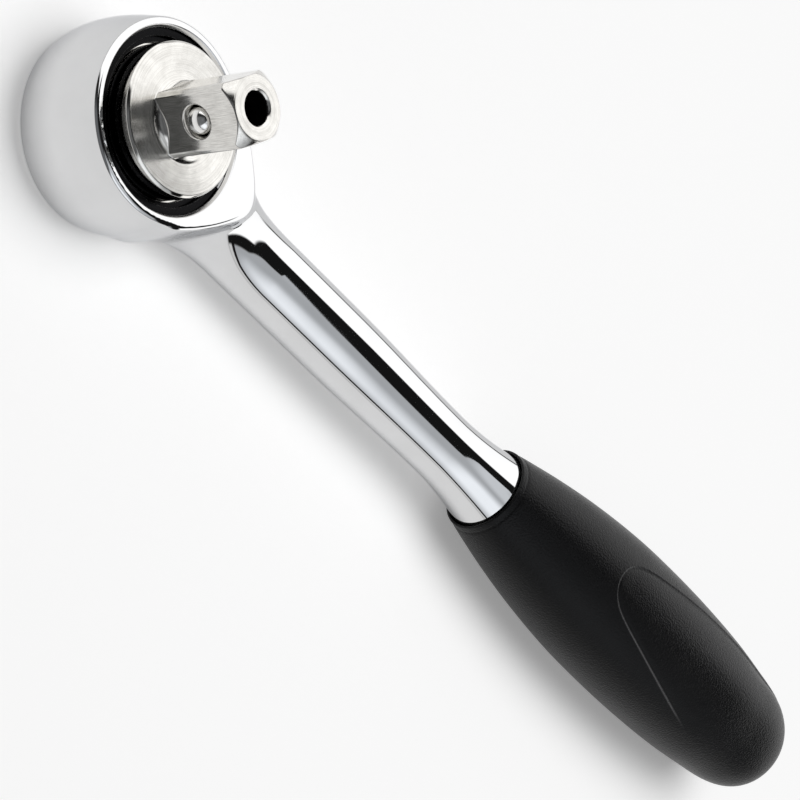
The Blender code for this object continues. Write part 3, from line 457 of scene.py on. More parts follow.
class Paint:
    """A socket of a material, a world or a shape tree that can be used in sums."""

    def __init__(self, tree, socket):
        self.tree = tree
        self.socket = socket

    def node(self, kind, settings=None, out=0, **sockets):
        """Add a node; a key such as _2 is the number of an input, and any other key is its name."""
        made = self.tree.nodes.new(kind)
        for name, value in (settings or {}).items():
            setattr(made, name, value)
        for name, value in sockets.items():
            key = int(name[1:]) if name[0] == "_" else name.replace("_", " ")
            socket = made.inputs[key]
            if isinstance(value, Paint):
                self.tree.links.new(value.socket, socket)
            else:
                socket.default_value = value
        return Paint(self.tree, made.outputs[out])

    def maths(self, how, *values):
        sockets = {f"_{i}": value for i, value in enumerate(values)}
        return self.node("ShaderNodeMath", {"operation": how}, **sockets)

    def __add__(self, other):
        return self.maths("ADD", self, other)

    def __radd__(self, other):
        return self.maths("ADD", other, self)

    def __sub__(self, other):
        return self.maths("SUBTRACT", self, other)

    def __rsub__(self, other):
        return self.maths("SUBTRACT", other, self)

    def __mul__(self, other):
        return self.maths("MULTIPLY", self, other)

    def __rmul__(self, other):
        return self.maths("MULTIPLY", other, self)

    def __truediv__(self, other):
        return self.maths("DIVIDE", self, other)

    def __rtruediv__(self, other):
        return self.maths("DIVIDE", other, self)

    def __pow__(self, other):
        return self.maths("POWER", self, other)

    def step(self, low, high):
        """Soft step from 0 to 1 between two values."""
        smooth = {"interpolation_type": "SMOOTHSTEP"}
        return self.node("ShaderNodeMapRange", smooth, _0=self, _1=low, _2=high)

    def part(self, which):
        return self.node("ShaderNodeSeparateXYZ", out="XYZ".index(which), Vector=self)

    def mix(self, first, second):
        """Two colours mixed by this value."""
        return self.node("ShaderNodeMix", {"data_type": "RGBA"}, out=2, _0=self, _6=first, _7=second)


def shape_tree(name, sizes):
    """An empty Geometry Nodes tree with named sizes; gives the tree, its sizes and its closing call."""
    tree = bpy.data.node_groups.new(name, "GeometryNodeTree")
    tree.interface.new_socket("Geometry", in_out="OUTPUT", socket_type="NodeSocketGeometry")
    for size, kind in sizes.items():
        tree.interface.new_socket(size, in_out="INPUT", socket_type=kind)
    tree.interface.new_socket("Finish", in_out="INPUT", socket_type="NodeSocketMaterial")
    start = tree.nodes.new("NodeGroupInput")
    given = {socket.name: Paint(tree, socket) for socket in start.outputs if socket.name}

    def close(shape):
        real = shape.node("GeometryNodeRealizeInstances", Geometry=shape)
        dressed = shape.node("GeometryNodeSetMaterial", Geometry=real, Material=given["Finish"])
        tree.links.new(dressed.socket, tree.nodes.new("NodeGroupOutput").inputs[0])

    return tree, given, close


def grow(name, tree, **values):
    """A plain mesh from a shape tree at the given sizes."""
    made = new_object(name, bpy.data.meshes.new(name))
    step = made.modifiers.new("shape", "NODES")
    step.node_group = tree
    for item in tree.interface.items_tree:
        if item.in_out == "INPUT":
            step[item.identifier] = values[item.name]
    settle(made)
    return made


def finish_of(name, **sockets):
    """A Principled material; gives the material, its place socket and its shader node."""
    made = bpy.data.materials.new(name)
    made.use_nodes = True
    tree = made.node_tree
    shader = tree.nodes["Principled BSDF"]
    for key, value in sockets.items():
        shader.inputs[key.replace("_", " ")].default_value = value
    coordinates = tree.nodes.new("ShaderNodeTexCoord")
    spot = Paint(tree, coordinates.outputs["Object"])
    return made, spot, shader


def wire(shader, **sockets):
    for key, value in sockets.items():
        value.tree.links.new(value.socket, shader.inputs[key.replace("_", " ")])


def about_drive(spot, heading=0.0):
    """Coordinates in millimetres about the drive axis."""
    return spot.node("ShaderNodeMapping", {"vector_type": "TEXTURE"}, Vector=spot,
                     Location=(DRIVE_X * MM, 0, 0), Rotation=(0, 0, heading), Scale=(MM, MM, MM))


def cloud(spot, scale, detail=3.0, roughness=0.55):
    return spot.node("ShaderNodeTexNoise", Vector=spot, Scale=scale, Detail=detail, Roughness=roughness)


def stretched(spot, x, y, z):
    return spot.node("ShaderNodeMapping", {"vector_type": "POINT"}, Vector=spot, Scale=(x, y, z))


def bump(height, strength, distance):
    return height.node("ShaderNodeBump", Height=height, Strength=strength, Distance=distance)


def chrome_plate():
    """Mirror plate with a faint haze and a few fine scuffs along the handle."""
    made, spot, shader = finish_of("polished_chrome_plate", Metallic=1.0,
                                   Specular_Tint=(0.77, 0.775, 0.785, 1))
    place_mm = about_drive(spot)
    haze = cloud(place_mm, 0.09, 4.0)
    hairs = cloud(stretched(place_mm, 0.25, 9.0, 9.0), 1.0, 2.0)
    scuffs = hairs.step(0.66, 0.74) * haze.step(0.5, 0.7)
    wire(shader, Base_Color=haze.step(0.3, 0.7).mix((0.652, 0.653, 0.656, 1), (0.682, 0.683, 0.686, 1)),
         Roughness=0.035 + haze.step(0.45, 0.75) * 0.02 + scuffs * 0.05,
         Normal=bump(cloud(place_mm, 0.8, 2.0), 0.02, 0.00006))
    return made


def bored_steel():
    """Tool marks run round the bore."""
    made, spot, shader = finish_of("bored_steel", Metallic=1.0)
    place_mm = about_drive(spot)
    rings = cloud(stretched(place_mm, 0.02, 0.02, 14.0), 1.0, 2.0)
    wire(shader, Base_Color=rings.step(0.3, 0.7).mix((0.60, 0.60, 0.606, 1), (0.70, 0.70, 0.706, 1)),
         Roughness=0.14 + rings.step(0.3, 0.8) * 0.12, Normal=bump(rings, 0.15, 0.00004))
    return made


def turned_steel(name, smear=0.0, dull=0.0):
    """Marks run round the axis on the disc and along the flats of the square; the inside of the end bore is
    coloured near black as painted shade.
    """
    made, spot, shader = finish_of(name, Metallic=1.0, Anisotropic=smear, Anisotropic_Rotation=0.25)
    place_mm = about_drive(spot, HEADING)
    x, y, z = (place_mm.part(axis) for axis in "XYZ")
    radius = (x * x + y * y)**0.5
    swirl = cloud(place_mm, 0.12, 2.0)
    lines = place_mm.node("ShaderNodeCombineXYZ", X=radius * 3.2, Y=swirl * 0.5, Z=0.0)
    facing = cloud(lines, 1.0, 6.0, 0.75)
    scores = facing.step(0.56, 0.66) * (1 - facing.step(0.7, 0.8))
    ground = cloud(stretched(place_mm, 9.0, 9.0, 0.3), 1.0, 4.0, 0.65)
    on_square = z.step(DISC_Z + 0.15, DISC_Z + 2.3)
    on_end = z.step(END_Z - 0.3, END_Z - 0.1)
    flat_share = on_square * (1 - on_end)
    marks = facing * (1 - flat_share) + ground * flat_share
    smudge = cloud(place_mm, 0.35, 3.0)
    rim = radius.step(14.4, 14.5)
    above_disc = z.step(24.0, 25.0)
    # Painted shade: the inside of the end bore, a deep recess, is coloured near black and made rougher
    hole_shade = (1 - radius.step(END_BORE, 3.36)) * (1 - z.step(END_Z - 0.9, END_Z - 0.3)) * above_disc
    tone = (marks * 0.75 + smudge * 0.25).step(0.3, 0.7) * (1 - scores * (1 - flat_share) * 0.7)
    bright = tone.mix((0.46, 0.448, 0.424, 1), (0.785, 0.773, 0.743, 1))
    grain = 0.04 + dull + marks.step(0.35, 0.75) * 0.1
    wire(shader, Base_Color=hole_shade.mix(bright, (0.012, 0.011, 0.010, 1)),
         Roughness=0.05 + grain * (1 - rim) + on_end * 0.08 + hole_shade * 0.3,
         Normal=bump(marks * (1 - rim) * (0.45 + 0.55 * (1 - flat_share)), 0.5, 0.00003))
    return made


def black_oxide(name, inner, outer):
    """Blackened ring, rubbed a little brighter at its two edges."""
    made, spot, shader = finish_of(name, Metallic=1.0)
    place_mm = about_drive(spot)
    x, y = place_mm.part("X"), place_mm.part("Y")
    radius = (x * x + y * y)**0.5
    rub = (1 - radius.step(inner, inner + 0.25)) + radius.step(outer - 0.25, outer)
    grain = cloud(place_mm, 2.2, 4.0)
    edge_highlight = rub * grain.step(0.4, 0.65) * 0.6
    wire(shader, Base_Color=edge_highlight.mix((0.0045, 0.0045, 0.005, 1), (0.07, 0.07, 0.073, 1)),
         Roughness=0.2 + grain.step(0.3, 0.7) * 0.12, Normal=bump(grain, 0.12, 0.00005))
    return made


def grip_skin():
    """Fine pebbled skin, a little smoother where a hand holds it, and coloured lighter along the thumb
    panel's edge as a painted highlight.
    """
    made, spot, shader = finish_of("black_moulded_grip", Metallic=0.0, IOR=1.3, Specular_IOR_Level=0.31)
    place_mm = about_drive(spot)
    pebbles = place_mm.node("ShaderNodeTexVoronoi", {"feature": "SMOOTH_F1"}, Vector=place_mm,
                            Scale=2.3, Smoothness=0.5)
    fine = cloud(place_mm, 4.2, 3.0)
    broad = cloud(place_mm, 0.05, 3.0)
    held = broad.step(0.4, 0.7)
    # Painted highlight: the panel's edge is coloured lighter from a point attribute, strongest on the side
    # facing the light
    edge = place_mm.node("ShaderNodeAttribute", {"attribute_name": "painted_edge_light"}, out=2)
    mottle = (fine * 0.6 + broad * 0.4).step(0.3, 0.7)
    black = mottle.mix((0.0018, 0.0018, 0.002, 1), (0.004, 0.004, 0.0043, 1))
    wire(shader, Base_Color=edge.mix(black, (0.072, 0.072, 0.074, 1)),
         Roughness=0.29 + fine * 0.1 - held * 0.03 - edge * 0.05,
         Normal=bump(pebbles * 0.7 + fine * 0.4, 0.58, 0.00016))
    return made


def dark_steel(name, light, dark, rough, grain_size):
    """Ground or hardened metal with fine grain, oil stain and brighter rubbed spots."""
    made, spot, shader = finish_of(name, Metallic=1.0)
    place_mm = about_drive(spot)
    stain = cloud(place_mm, 0.5, 4.0)
    grain = cloud(place_mm, grain_size, 3.0)
    wire(shader, Base_Color=(stain * 0.6 + grain * 0.4).step(0.3, 0.7).mix(dark, light),
         Roughness=rough + grain.step(0.3, 0.7) * 0.12, Normal=bump(grain, 0.12, 0.00004))
    return made


def seal_skin():
    made, spot, shader = finish_of("seal_rubber_skin", Metallic=0.0)
    place_mm = about_drive(spot)
    bloom = cloud(place_mm, 1.2, 3.0)
    wire(shader, Base_Color=bloom.step(0.3, 0.8).mix((0.008, 0.008, 0.008, 1), (0.02, 0.02, 0.02, 1)),
         Roughness=0.5 + bloom * 0.2, Normal=bump(bloom, 0.1, 0.00005))
    return made


CHROME = chrome_plate()
BORED = bored_steel()
TURNED = turned_steel("bright_turned_steel")
FACED = turned_steel("faced_disc_steel", smear=0.8, dull=0.1)
WASHER_BLACK = black_oxide("blackened_washer", *WASHER[:2])
RING_BLACK = black_oxide("blackened_ring", *SPRING_RING[:2])
GRIP_SKIN = grip_skin()
HARD = dark_steel("hardened_steel", (0.46, 0.45, 0.44, 1), (0.34, 0.33, 0.325, 1), 0.25, 3.0)
WIRE_STEEL = dark_steel("drawn_spring_wire", (0.38, 0.37, 0.365, 1), (0.26, 0.25, 0.245, 1), 0.22, 5.0)
BRONZE = dark_steel("bearing_bronze", (0.68, 0.47, 0.24, 1), (0.52, 0.34, 0.16, 1), 0.28, 2.5)
BALL_STEEL = dark_steel("polished_ball", (0.82, 0.815, 0.803, 1), (0.75, 0.744, 0.732, 1), 0.07, 2.0)
SEAL = seal_skin()


# Pieces


def make_forging():
    """Head, neck and shank in one chromed shape, with the bores cut out of it."""
    body = piece_from("forged_body", *skin_of(forging_field, *FORGING_BLOCK))
    body.data.materials.append(CHROME)
    lip = rounded([(BORE + LIP, FACE_Z + 0.05), (BORE + 0.5, FACE_Z - 0.02), (BORE, FACE_Z - 0.8),
                   (BORE, RING_GROOVE_HIGH)], [0, 0.3, 0.12, 0], steps=6)
    profile = [(0.0, FACE_Z + CLEAR), (BORE + LIP, FACE_Z + CLEAR), *lip,
               (RING_GROOVE, RING_GROOVE_HIGH), (RING_GROOVE, RING_GROOVE_LOW), (BORE, RING_GROOVE_LOW),
               (BORE, SHOULDER_TOP), (SHOULDER_BORE, SHOULDER_TOP), (SHOULDER_BORE, TEETH_HIGH),
               (TOOTH_BACK, TEETH_HIGH), (TOOTH_BACK, TEETH_LOW), (WEB_HOLE, TEETH_LOW), (WEB_HOLE, WEB_Z),
               (RECESS, WEB_Z), (RECESS, SNAP_HIGH), (SNAP_GROOVE, SNAP_HIGH), (SNAP_GROOVE, SNAP_LOW),
               (RECESS, SNAP_LOW), (RECESS, BACK_Z + RECESS_BEVEL), (BEVEL_OUT, BACK_Z - BEVEL_BELOW),
               (0.0, BACK_Z - BEVEL_BELOW)]
    bore = lathe("bore", profile, segments=240)
    bore.data.materials.append(BORED)
    cut_out(body, bore)
    shade_by_field(body, forging_field)
    place(body)
    hand_over(body, "handle", "polished_chrome", "head_forging")


def smooth_through(stations, x):
    """Cubic through stations of (x, value), with the slopes that their neighbours give."""
    xs = np.array([s[0] for s in stations])
    ys = np.array([s[1] for s in stations])
    slopes = np.empty_like(ys)
    slopes[1:-1] = (ys[2:] - ys[:-2]) / (xs[2:] - xs[:-2])
    slopes[0] = (ys[1] - ys[0]) / (xs[1] - xs[0])
    slopes[-1] = (ys[-1] - ys[-2]) / (xs[-1] - xs[-2])
    i = np.clip(np.searchsorted(xs, x) - 1, 0, len(xs) - 2)
    span = xs[i + 1] - xs[i]
    t = (x - xs[i]) / span
    return ((2 * t**3 - 3 * t**2 + 1) * ys[i] + (t**3 - 2 * t**2 + t) * span * slopes[i]
            + (3 * t**2 - 2 * t**3) * ys[i + 1] + (t**3 - t**2) * span * slopes[i + 1])


def ramp(low, high, x):
    t = np.clip((x - low) / (high - low), 0, 1)
    return t * t * (3 - 2 * t)


def dent(x, centre, width):
    """A round bump of height 1 at a centre."""
    return np.exp(-((x - centre) / width)**2)


def grip_half(along):
    """Half width of the grip at a distance from its mouth, with a domed end."""
    length, end_half = GRIP_STATIONS[-1]
    dome = np.clip((along - length) / GRIP_ROUND, 0, 1)
    end = end_half * np.maximum(1 - dome**2, 0)**DOME_POWER - DOME_DRAW * dome * (1 - dome)**2
    return np.where(along <= length, smooth_through(GRIP_STATIONS, np.minimum(along, length)), end)


def grip_rows():
    """Distances from the mouth, close together there, at the tip of the thumb panel and round the end."""
    tip = PANEL_TIP - GRIP_START
    length = GRIP_STATIONS[-1][0]
    wide = 0.55
    at_mouth = np.arange(0.9, 3.6, 0.12)
    before = np.arange(3.6, tip - 1.0, wide)
    at_tip = np.arange(tip - 1.0, tip + 1.5, 0.09)
    past_tip = np.arange(tip + 1.5, tip + 5.0, 0.17)
    after = np.arange(tip + 5.0, length, wide)
    dome = length + GRIP_ROUND * np.sin(np.linspace(0, np.pi / 2, 48))
    return np.concatenate([at_mouth, before, at_tip, past_tip, after, dome])


def panel_edge(run, blunt, tip, widen, turn_in):
    """Angle from the thumb panel's middle to its edge, in degrees, and how fast it grows behind the tip."""
    run = np.clip(run, 0, None)
    late = np.clip(run - PANEL_TURN_FROM, 0, PANEL_TURN_RUN)
    angle = widen * run - turn_in * late**2
    growth = widen - 2 * turn_in * late
    for share, length, power in ((0.54, 2 * tip, 0.5), (0.46, 4.6 * tip, 1.0)):
        gone = np.maximum(1 - np.exp(-run / length), TINY)
        angle = angle + share * blunt * gone**power
        growth = growth + share * blunt * power * gone**(power - 1) * (1 - gone) / length
    return angle, growth


def inset_at_tip(run, angle, arc_mm, trace, spread):
    """Distance in from the panel's edge, over the surface in millimetres; below zero outside the panel."""
    width = spread * np.interp(trace, run, arc_mm)
    made = np.full(angle.shape, FAR_OUT)
    for row in np.nonzero((run > -3.0) & (run < trace[-1]))[0]:
        across = angle[row] * arc_mm[row]
        away = np.hypot(run[row] - trace[:, None], across[None] - width[:, None]).min(0)
        within = (run[row] > 0) & (across < np.interp(run[row], trace, width))
        made[row] = np.where(within, away, -away)
    return made


def panel_side(along, half, side):
    """Points of the grip from the middle of the thumb panel round to the back, on one side.

    Gives their angles in degrees, how deep they are sunk and how much painted highlight they get along the
    panel's edge.
    """
    run = along + GRIP_START - PANEL_TIP
    arc_mm = np.radians(1) * np.maximum(half, LEAST_HALF)
    shape = [side[key] for key in ("blunt", "tip", "widen", "turn_in")]
    spread, steep = panel_edge(run, *shape)
    follow = np.clip(spread, PANEL_LEAST, PANEL_MOST)
    room = np.clip(follow * arc_mm / PANEL_ROOM, 0, 1)
    inner = follow[:, None] - BESIDE_EDGE[None] * (room / arc_mm)[:, None]
    outer = follow[:, None] + BESIDE_EDGE[None] / arc_mm[:, None]
    middle = inner[:, -1:] * np.linspace(0, 1, MIDDLE_LINES)[None, :-1]
    rest = outer[:, -1:] + (180 - outer[:, -1:]) * np.linspace(0, 1, BACK_LINES)[None, 1:]
    angle = np.concatenate([middle, inner[:, ::-1], follow[:, None], outer, rest], 1)
    inset = (spread[:, None] - angle) * (arc_mm / np.hypot(1, steep * arc_mm))[:, None]
    trace = TIP_TRACE * np.linspace(0, 1, TRACE_POINTS)**2
    at_tip = inset_at_tip(run, angle, arc_mm, trace, panel_edge(trace, *shape)[0])
    inset = at_tip + (inset - at_tip) * ramp(TIP_FROM, TIP_TO, run)[:, None]
    toward_edge = np.clip(angle / follow[:, None], 0, 1)**2
    last = PANEL_LAST + (side["last"] - PANEL_LAST) * toward_edge
    fade_from = last - PANEL_FADE + PANEL_FADE_LESS * toward_edge
    fade = 1 - ramp(fade_from, last, (along + GRIP_START)[:, None])
    drop = PANEL_DROP + (side["deep"] - PANEL_DROP) * toward_edge
    depth = drop * (ramp(-STEP_HALF, STEP_HALF, inset) + GUTTER * dent(inset, GUTTER_IN, GUTTER_WIDE))
    depth = depth + PANEL_SAG * ramp(0.0, PANEL_SAG_RUN, inset)
    # Painted highlight in a thin band just inside the panel's edge
    edge_highlight = fade * dent(inset, HIGHLIGHT_IN, HIGHLIGHT_WIDE) * side["highlight_share"]
    return side["sign"] * angle, fade * depth, edge_highlight


def make_grip():
    """Moulded grip: its lines of points follow the edge of the thumb panel, so the edge stays crisp."""
    along = grip_rows()
    half = grip_half(along) - BEAD_DEEP * dent(along, BEAD_AT, BEAD_WIDE)
    oval = 1 - GRIP_OVAL * np.clip(along / (GRIP_STATIONS[-1][0] * OVAL_SHARE), 0, 1)
    sides = [panel_side(along, half, side) for side in PANEL_SIDES]
    around, sunk, edge_highlight = (np.concatenate([one, two[:, -2:0:-1]], 1) for one, two in zip(*sides))
    count = around.shape[1]
    turn = np.radians(around + PANEL_ANGLE)
    radius = half[:, None] - sunk
    rise = radius * oval[:, None] * np.cos(turn)
    flatter = 1 - (1 - GRIP_UNDER) * ramp(0.0, UNDER_RUN, along)[:, None]
    rise = np.where(rise < 0, rise * flatter, rise)
    skin = np.stack([np.repeat(along[:, None], count, 1), -radius * np.sin(turn), rise], 2)
    lip = []
    for shift, out in GRIP_LIP:
        lip.append(np.stack([np.full(count, shift), -out * np.sin(turn[0]), out * np.cos(turn[0])], 1))
    rows = np.concatenate([np.array(lip), skin[:-1]])
    points = np.concatenate([rows.reshape(-1, 3), [[along[-1], 0, 0], [SOCKET_END, 0, 0]]])
    first = np.arange(count)
    after = (first + 1) % count
    faces = [quad for i in range(len(rows) - 1)
             for quad in np.stack([first, after, after + count, first + count], 1) + i * count]
    last = (len(rows) - 1) * count
    for k in range(count):
        faces.append((last + first[k], last + after[k], len(points) - 2))
        faces.append((first[k], after[k], len(points) - 1))
    points[:, 0] += GRIP_START
    sine, cosine = math.sin(TILT), math.cos(TILT)
    points = np.stack([points[:, 0] * cosine - points[:, 2] * sine, points[:, 1],
                       AXIS_Z + points[:, 0] * sine + points[:, 2] * cosine], 1)
    grip = piece_from("moulded_grip", points, faces)
    # Painted highlight along the panel's edge, kept on the points
    edge = grip.data.attributes.new("painted_edge_light", "FLOAT", "POINT")
    edge.data.foreach_set("value", np.concatenate([np.zeros(len(lip) * count), edge_highlight[:-1].ravel(), [0, 0]]))
    outward(grip)
    shade(grip, angle=60)
    grip.data.materials.append(GRIP_SKIN)
    place(grip)
    hand_over(grip, "handle", "soft_grip", "grip")


def make_drive():
    """Square, disc and the core that carries the pawls."""
    square = piece_from("drive_square", *skin_of(square_field, *SQUARE_BLOCK))
    square.data.materials.append(TURNED)
    shade_by_field(square, square_field)
    place(square, HEADING)
    hand_over(square, "spindle", "bright_steel")
    disc = rounded([(END_BORE, DISC_Z), (DISC - DISC_BEVEL, DISC_Z), (DISC, DISC_Z - DISC_BEVEL),
                    (DISC, FLANGE_Z), (FLANGE, FLANGE_Z), (FLANGE, CORE_TOP), (END_BORE, CORE_TOP)],
                   [0, 0.1, 0.1, 0, 0.1, 0, 0], steps=3)
    body = lathe("drive_disc", disc, segments=256)
    shade(body, angle=28)
    body.data.materials.append(FACED)
    place(body)
    hand_over(body, "spindle", "bright_steel", "drive_spindle")
    core = sawn_off("spindle_core", "drive_spindle", CORE_TOP, below=True)
    shade(core, angle=12)
    core.data.materials.append(HARD)
    hand_over(core, "spindle", "hardened_steel")


def tooth_ring_tree():
    """Internal teeth: a band of points bent into a ring, its inner radius stepping between root and tip.

    A tooth takes four points along the band, two at its tip and two at its root. Seven rows go round the
    ring's section, and the last lies on the first.
    """
    sizes = {"Teeth": "NodeSocketInt"}
    for name in ("Tip", "Root", "Back", "Low", "High", "Chamfer"):
        sizes[name] = "NodeSocketFloat"
    tree, size, close = shape_tree("ring_of_teeth", sizes)
    rows = 7
    band = size["Teeth"].node("GeometryNodeMeshGrid", Vertices_X=size["Teeth"] * 4 + 1, Vertices_Y=rows)
    index = band.node("GeometryNodeInputIndex")
    row = band.maths("MODULO", index, float(rows))
    column = band.maths("FLOOR", index / float(rows))
    corner = band.maths("MODULO", column, 4.0)
    tooth = band.maths("FLOOR", column / 4.0)
    at_root = band.maths("GREATER_THAN", corner, 1.5)
    past = band.maths("MODULO", corner, 2.0)
    heading = (tooth + at_root * 0.5 + (past - 0.5) * TOOTH_LAND) / size["Teeth"] * (2 * math.pi)

    def is_row(number):
        return band.maths("COMPARE", band.maths("MODULO", row, float(rows - 1)), float(number), 0.1)

    toothed = size["Tip"] + at_root * (size["Root"] - size["Tip"])
    bevelled = is_row(0) + is_row(3)
    outside = is_row(4) + is_row(5)
    radius = toothed + bevelled * size["Chamfer"]
    radius = radius + outside * (size["Back"] - radius)
    lower = is_row(0) + is_row(1) + is_row(5)
    inner = is_row(1) - is_row(2)
    height = lower * size["Low"] + (1 - lower) * size["High"] + inner * size["Chamfer"]
    spot = band.node("ShaderNodeCombineXYZ", X=radius * band.maths("COSINE", heading),
                     Y=radius * band.maths("SINE", heading), Z=height)
    bent = band.node("GeometryNodeSetPosition", Geometry=band, Position=spot)
    close(bent.node("GeometryNodeMergeByDistance", Geometry=bent, Distance=0.002))
    return tree


def coil_tree():
    """A wound wire: a circle carried along a spiral."""
    sizes = {name: "NodeSocketFloat" for name in ("Turns", "Radius", "Height", "Wire")}
    tree, size, close = shape_tree("wound_coil", sizes)
    path = size["Turns"].node("GeometryNodeCurveSpiral", Resolution=40, Rotations=size["Turns"],
                              Start_Radius=size["Radius"], End_Radius=size["Radius"], Height=size["Height"])
    section = path.node("GeometryNodeCurvePrimitiveCircle", Resolution=12, Radius=size["Wire"] / 2.0)
    close(path.node("GeometryNodeCurveToMesh", Curve=path, Profile_Curve=section, Fill_Caps=True))
    return tree


def make_tooth_ring():
    ring = grow("tooth_ring", tooth_ring_tree(), Teeth=TEETH, Tip=TOOTH_TIP, Root=TOOTH_ROOT,
                Back=TOOTH_BACK, Low=TEETH_LOW, High=TEETH_HIGH, Chamfer=TOOTH_BEVEL, Finish=HARD)
    outward(ring)
    shade(ring, angle=30)
    place(ring)
    hand_over(ring, "handle", "hardened_steel")


def make_tang():
    near = MOUTH_X + TANG_START
    far = MOUTH_X + TANG_LENGTH
    rod = [(0.0, near), (TANG, near), (TANG, far - TANG_BEVEL), (TANG - TANG_BEVEL, far), (0.0, far)]
    tang = lathe("forged_tang", rod, segments=64, closed=False)
    tang.data.transform(Matrix.Translation((0, 0, AXIS_Z)) @ Matrix.Rotation(math.pi / 2 - TILT, 4, "Y"))
    shade(tang)
    tang.data.materials.append(HARD)
    place(tang)
    hand_over(tang, "handle", "hardened_steel")


def make_coils():
    """The four springs, each where its CAD node is: turns, radius, wire and the pin it stands on."""
    tree = coil_tree()
    pins = {side: sum(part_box("pawl_pin_" + side), Vector()) / 2 / MM for side in ("left", "right")}
    for node, turns, radius, thick, centre in (("release_spring", 4.0, 3.9, 0.55, None),
                                               ("dial_detent_spring", 3.0, 1.025, 0.35, None),
                                               ("pawl_spring_left", 1.75, 1.75, 0.4, pins["left"]),
                                               ("pawl_spring_right", 1.75, 1.75, 0.4, pins["right"])):
        low, high = (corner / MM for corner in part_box(node))
        radial = node == "dial_detent_spring"
        span = CLICK_SPAN if radial else (low.z + thick / 2, high.z - thick / 2)
        coil = grow(node.replace("spring", "coil"), tree, Turns=turns, Radius=radius,
                    Height=span[1] - span[0], Wire=thick, Finish=WIRE_STEEL)
        outward(coil)
        coil.data.transform(Matrix.Translation((0, 0, span[0])))
        if radial:
            lying = Matrix.Rotation(-math.pi / 2, 4, "Y")
            coil.data.transform(Matrix.Translation((0, 0, CLICK_Z)) @ lying)
        shade(coil, angle=40)
        place(coil, HEADING)
        if centre:
            coil.data.transform(Matrix.Translation(((centre.x - DRIVE_X) * MM, centre.y * MM, 0)))
        hand_over(coil, "spindle", "spring_steel", node)
        if node == "release_spring":
            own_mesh(coil)


def make_front_rings():
    """Black washer, and above it the open spring ring that holds it."""
    washer = lathe("front_washer", ring_section(*WASHER, corner=0.1), segments=240)
    shade(washer, angle=40)
    washer.data.materials.append(WASHER_BLACK)
    place(washer)
    hand_over(washer, "handle", "blackened_steel", "cover_washer")
    section = ring_section(*SPRING_RING, corner=0.16)
    steps = 220
    turn = np.radians(np.linspace(SPRING_RING_GAP, 360 - SPRING_RING_GAP, steps))
    points = [(r * math.cos(a), r * math.sin(a), z) for a in turn for r, z in section]
    count = len(section)
    faces = []
    for i in range(steps - 1):
        for k in range(count):
            here = i * count
            n = (k + 1) % count
            faces.append([here + k, here + n, here + count + n, here + count + k])
    faces += [list(range(count)), [(steps - 1) * count + k for k in range(count)]]
    ring = piece_from("spring_ring", points, faces)
    outward(ring)
    shade(ring, angle=40)
    ring.data.materials.append(RING_BLACK)
    place(ring)
    hand_over(ring, "handle", "blackened_steel", "retaining_ring")


def make_ball():
    pole = 1.57
    turn = np.linspace(-np.pi / 2, np.pi / 2, 49)
    profile = [(BALL * math.cos(a) if abs(a) < pole else 0.0, BALL * math.sin(a)) for a in turn]
    ball = lathe("detent_ball", profile, segments=96, closed=False)
    ball.data.transform(Matrix.Translation((BALL_OUT, 0, BALL_Z)) @ Matrix.Rotation(math.pi / 2, 4, "Y"))
    shade(ball, angle=60)
    ball.data.materials.append(BALL_STEEL)
    place(ball, HEADING)
    hand_over(ball, "ball", "hardened_steel", "drive_detent_ball")


def make_dial():
    """Dial plate, its stem and the crowned release button in its middle."""
    dial = piece_from("dial_plate", *skin_of(dial_field, *DIAL_BLOCK))
    dial.data.materials.append(TURNED)
    shade_by_field(dial, dial_field)
    place(dial, HEADING)
    hand_over(dial, "dial", "bright_steel")
    stem = sawn_off("dial_stem", "reversing_dial", STEM_LOW, below=False)
    shade(stem, angle=12)
    stem.data.materials.append(HARD)
    hand_over(stem, "dial", "hardened_steel", "reversing_dial")
    sunk, crown, wide = 0.3, 0.12, 4.1
    cap = [(0.0, sunk)] + [(wide * t, sunk + crown * t**4) for t in (0.3, 0.6, 0.8, 0.92, 1.0)]
    cap += [(4.32, 0.55), (4.4, 0.8), (4.4, 1.75), (4.3, 1.8), (2.3, 1.8), (2.3, 0.9), (0.0, 0.9)]
    button = lathe("push_button", cap, segments=128, closed=False)
    shade(button)
    button.data.materials.append(TURNED)
    place(button)
    hand_over(button, "release", "bright_steel", "release_button")


def clad_inner_pieces():
    """Finishes for the CAD nodes that keep their own shape."""
    finishes = {"tail_bush": BRONZE, "thrust_washer": BRONZE, "seal_ring": SEAL,
                "dial_snap_ring": WIRE_STEEL, "pawl_left": HARD, "pawl_right": HARD,
                "pawl_pin_left": HARD, "pawl_pin_right": HARD, "dial_detent_ball": BALL_STEEL,
                "release_plunger": HARD}
    for node, finish in finishes.items():
        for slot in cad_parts[node].material_slots:
            slot.material = finish


# Stage, in metres


def make_floor():
    half = 4
    floor = piece_from("floor", [(-half, -half, 0), (half, -half, 0), (half, half, 0), (-half, half, 0)],
                       [[0, 1, 2, 3]])
    floor.location.z = -0.0002
    pale = finish_of("pale_floor", Base_Color=(0.93, 0.93, 0.93, 1), Roughness=0.9, Specular_IOR_Level=0.0,
                     Emission_Color=(1, 1, 1, 1), Emission_Strength=0.27)[0]
    floor.data.materials.append(pale)


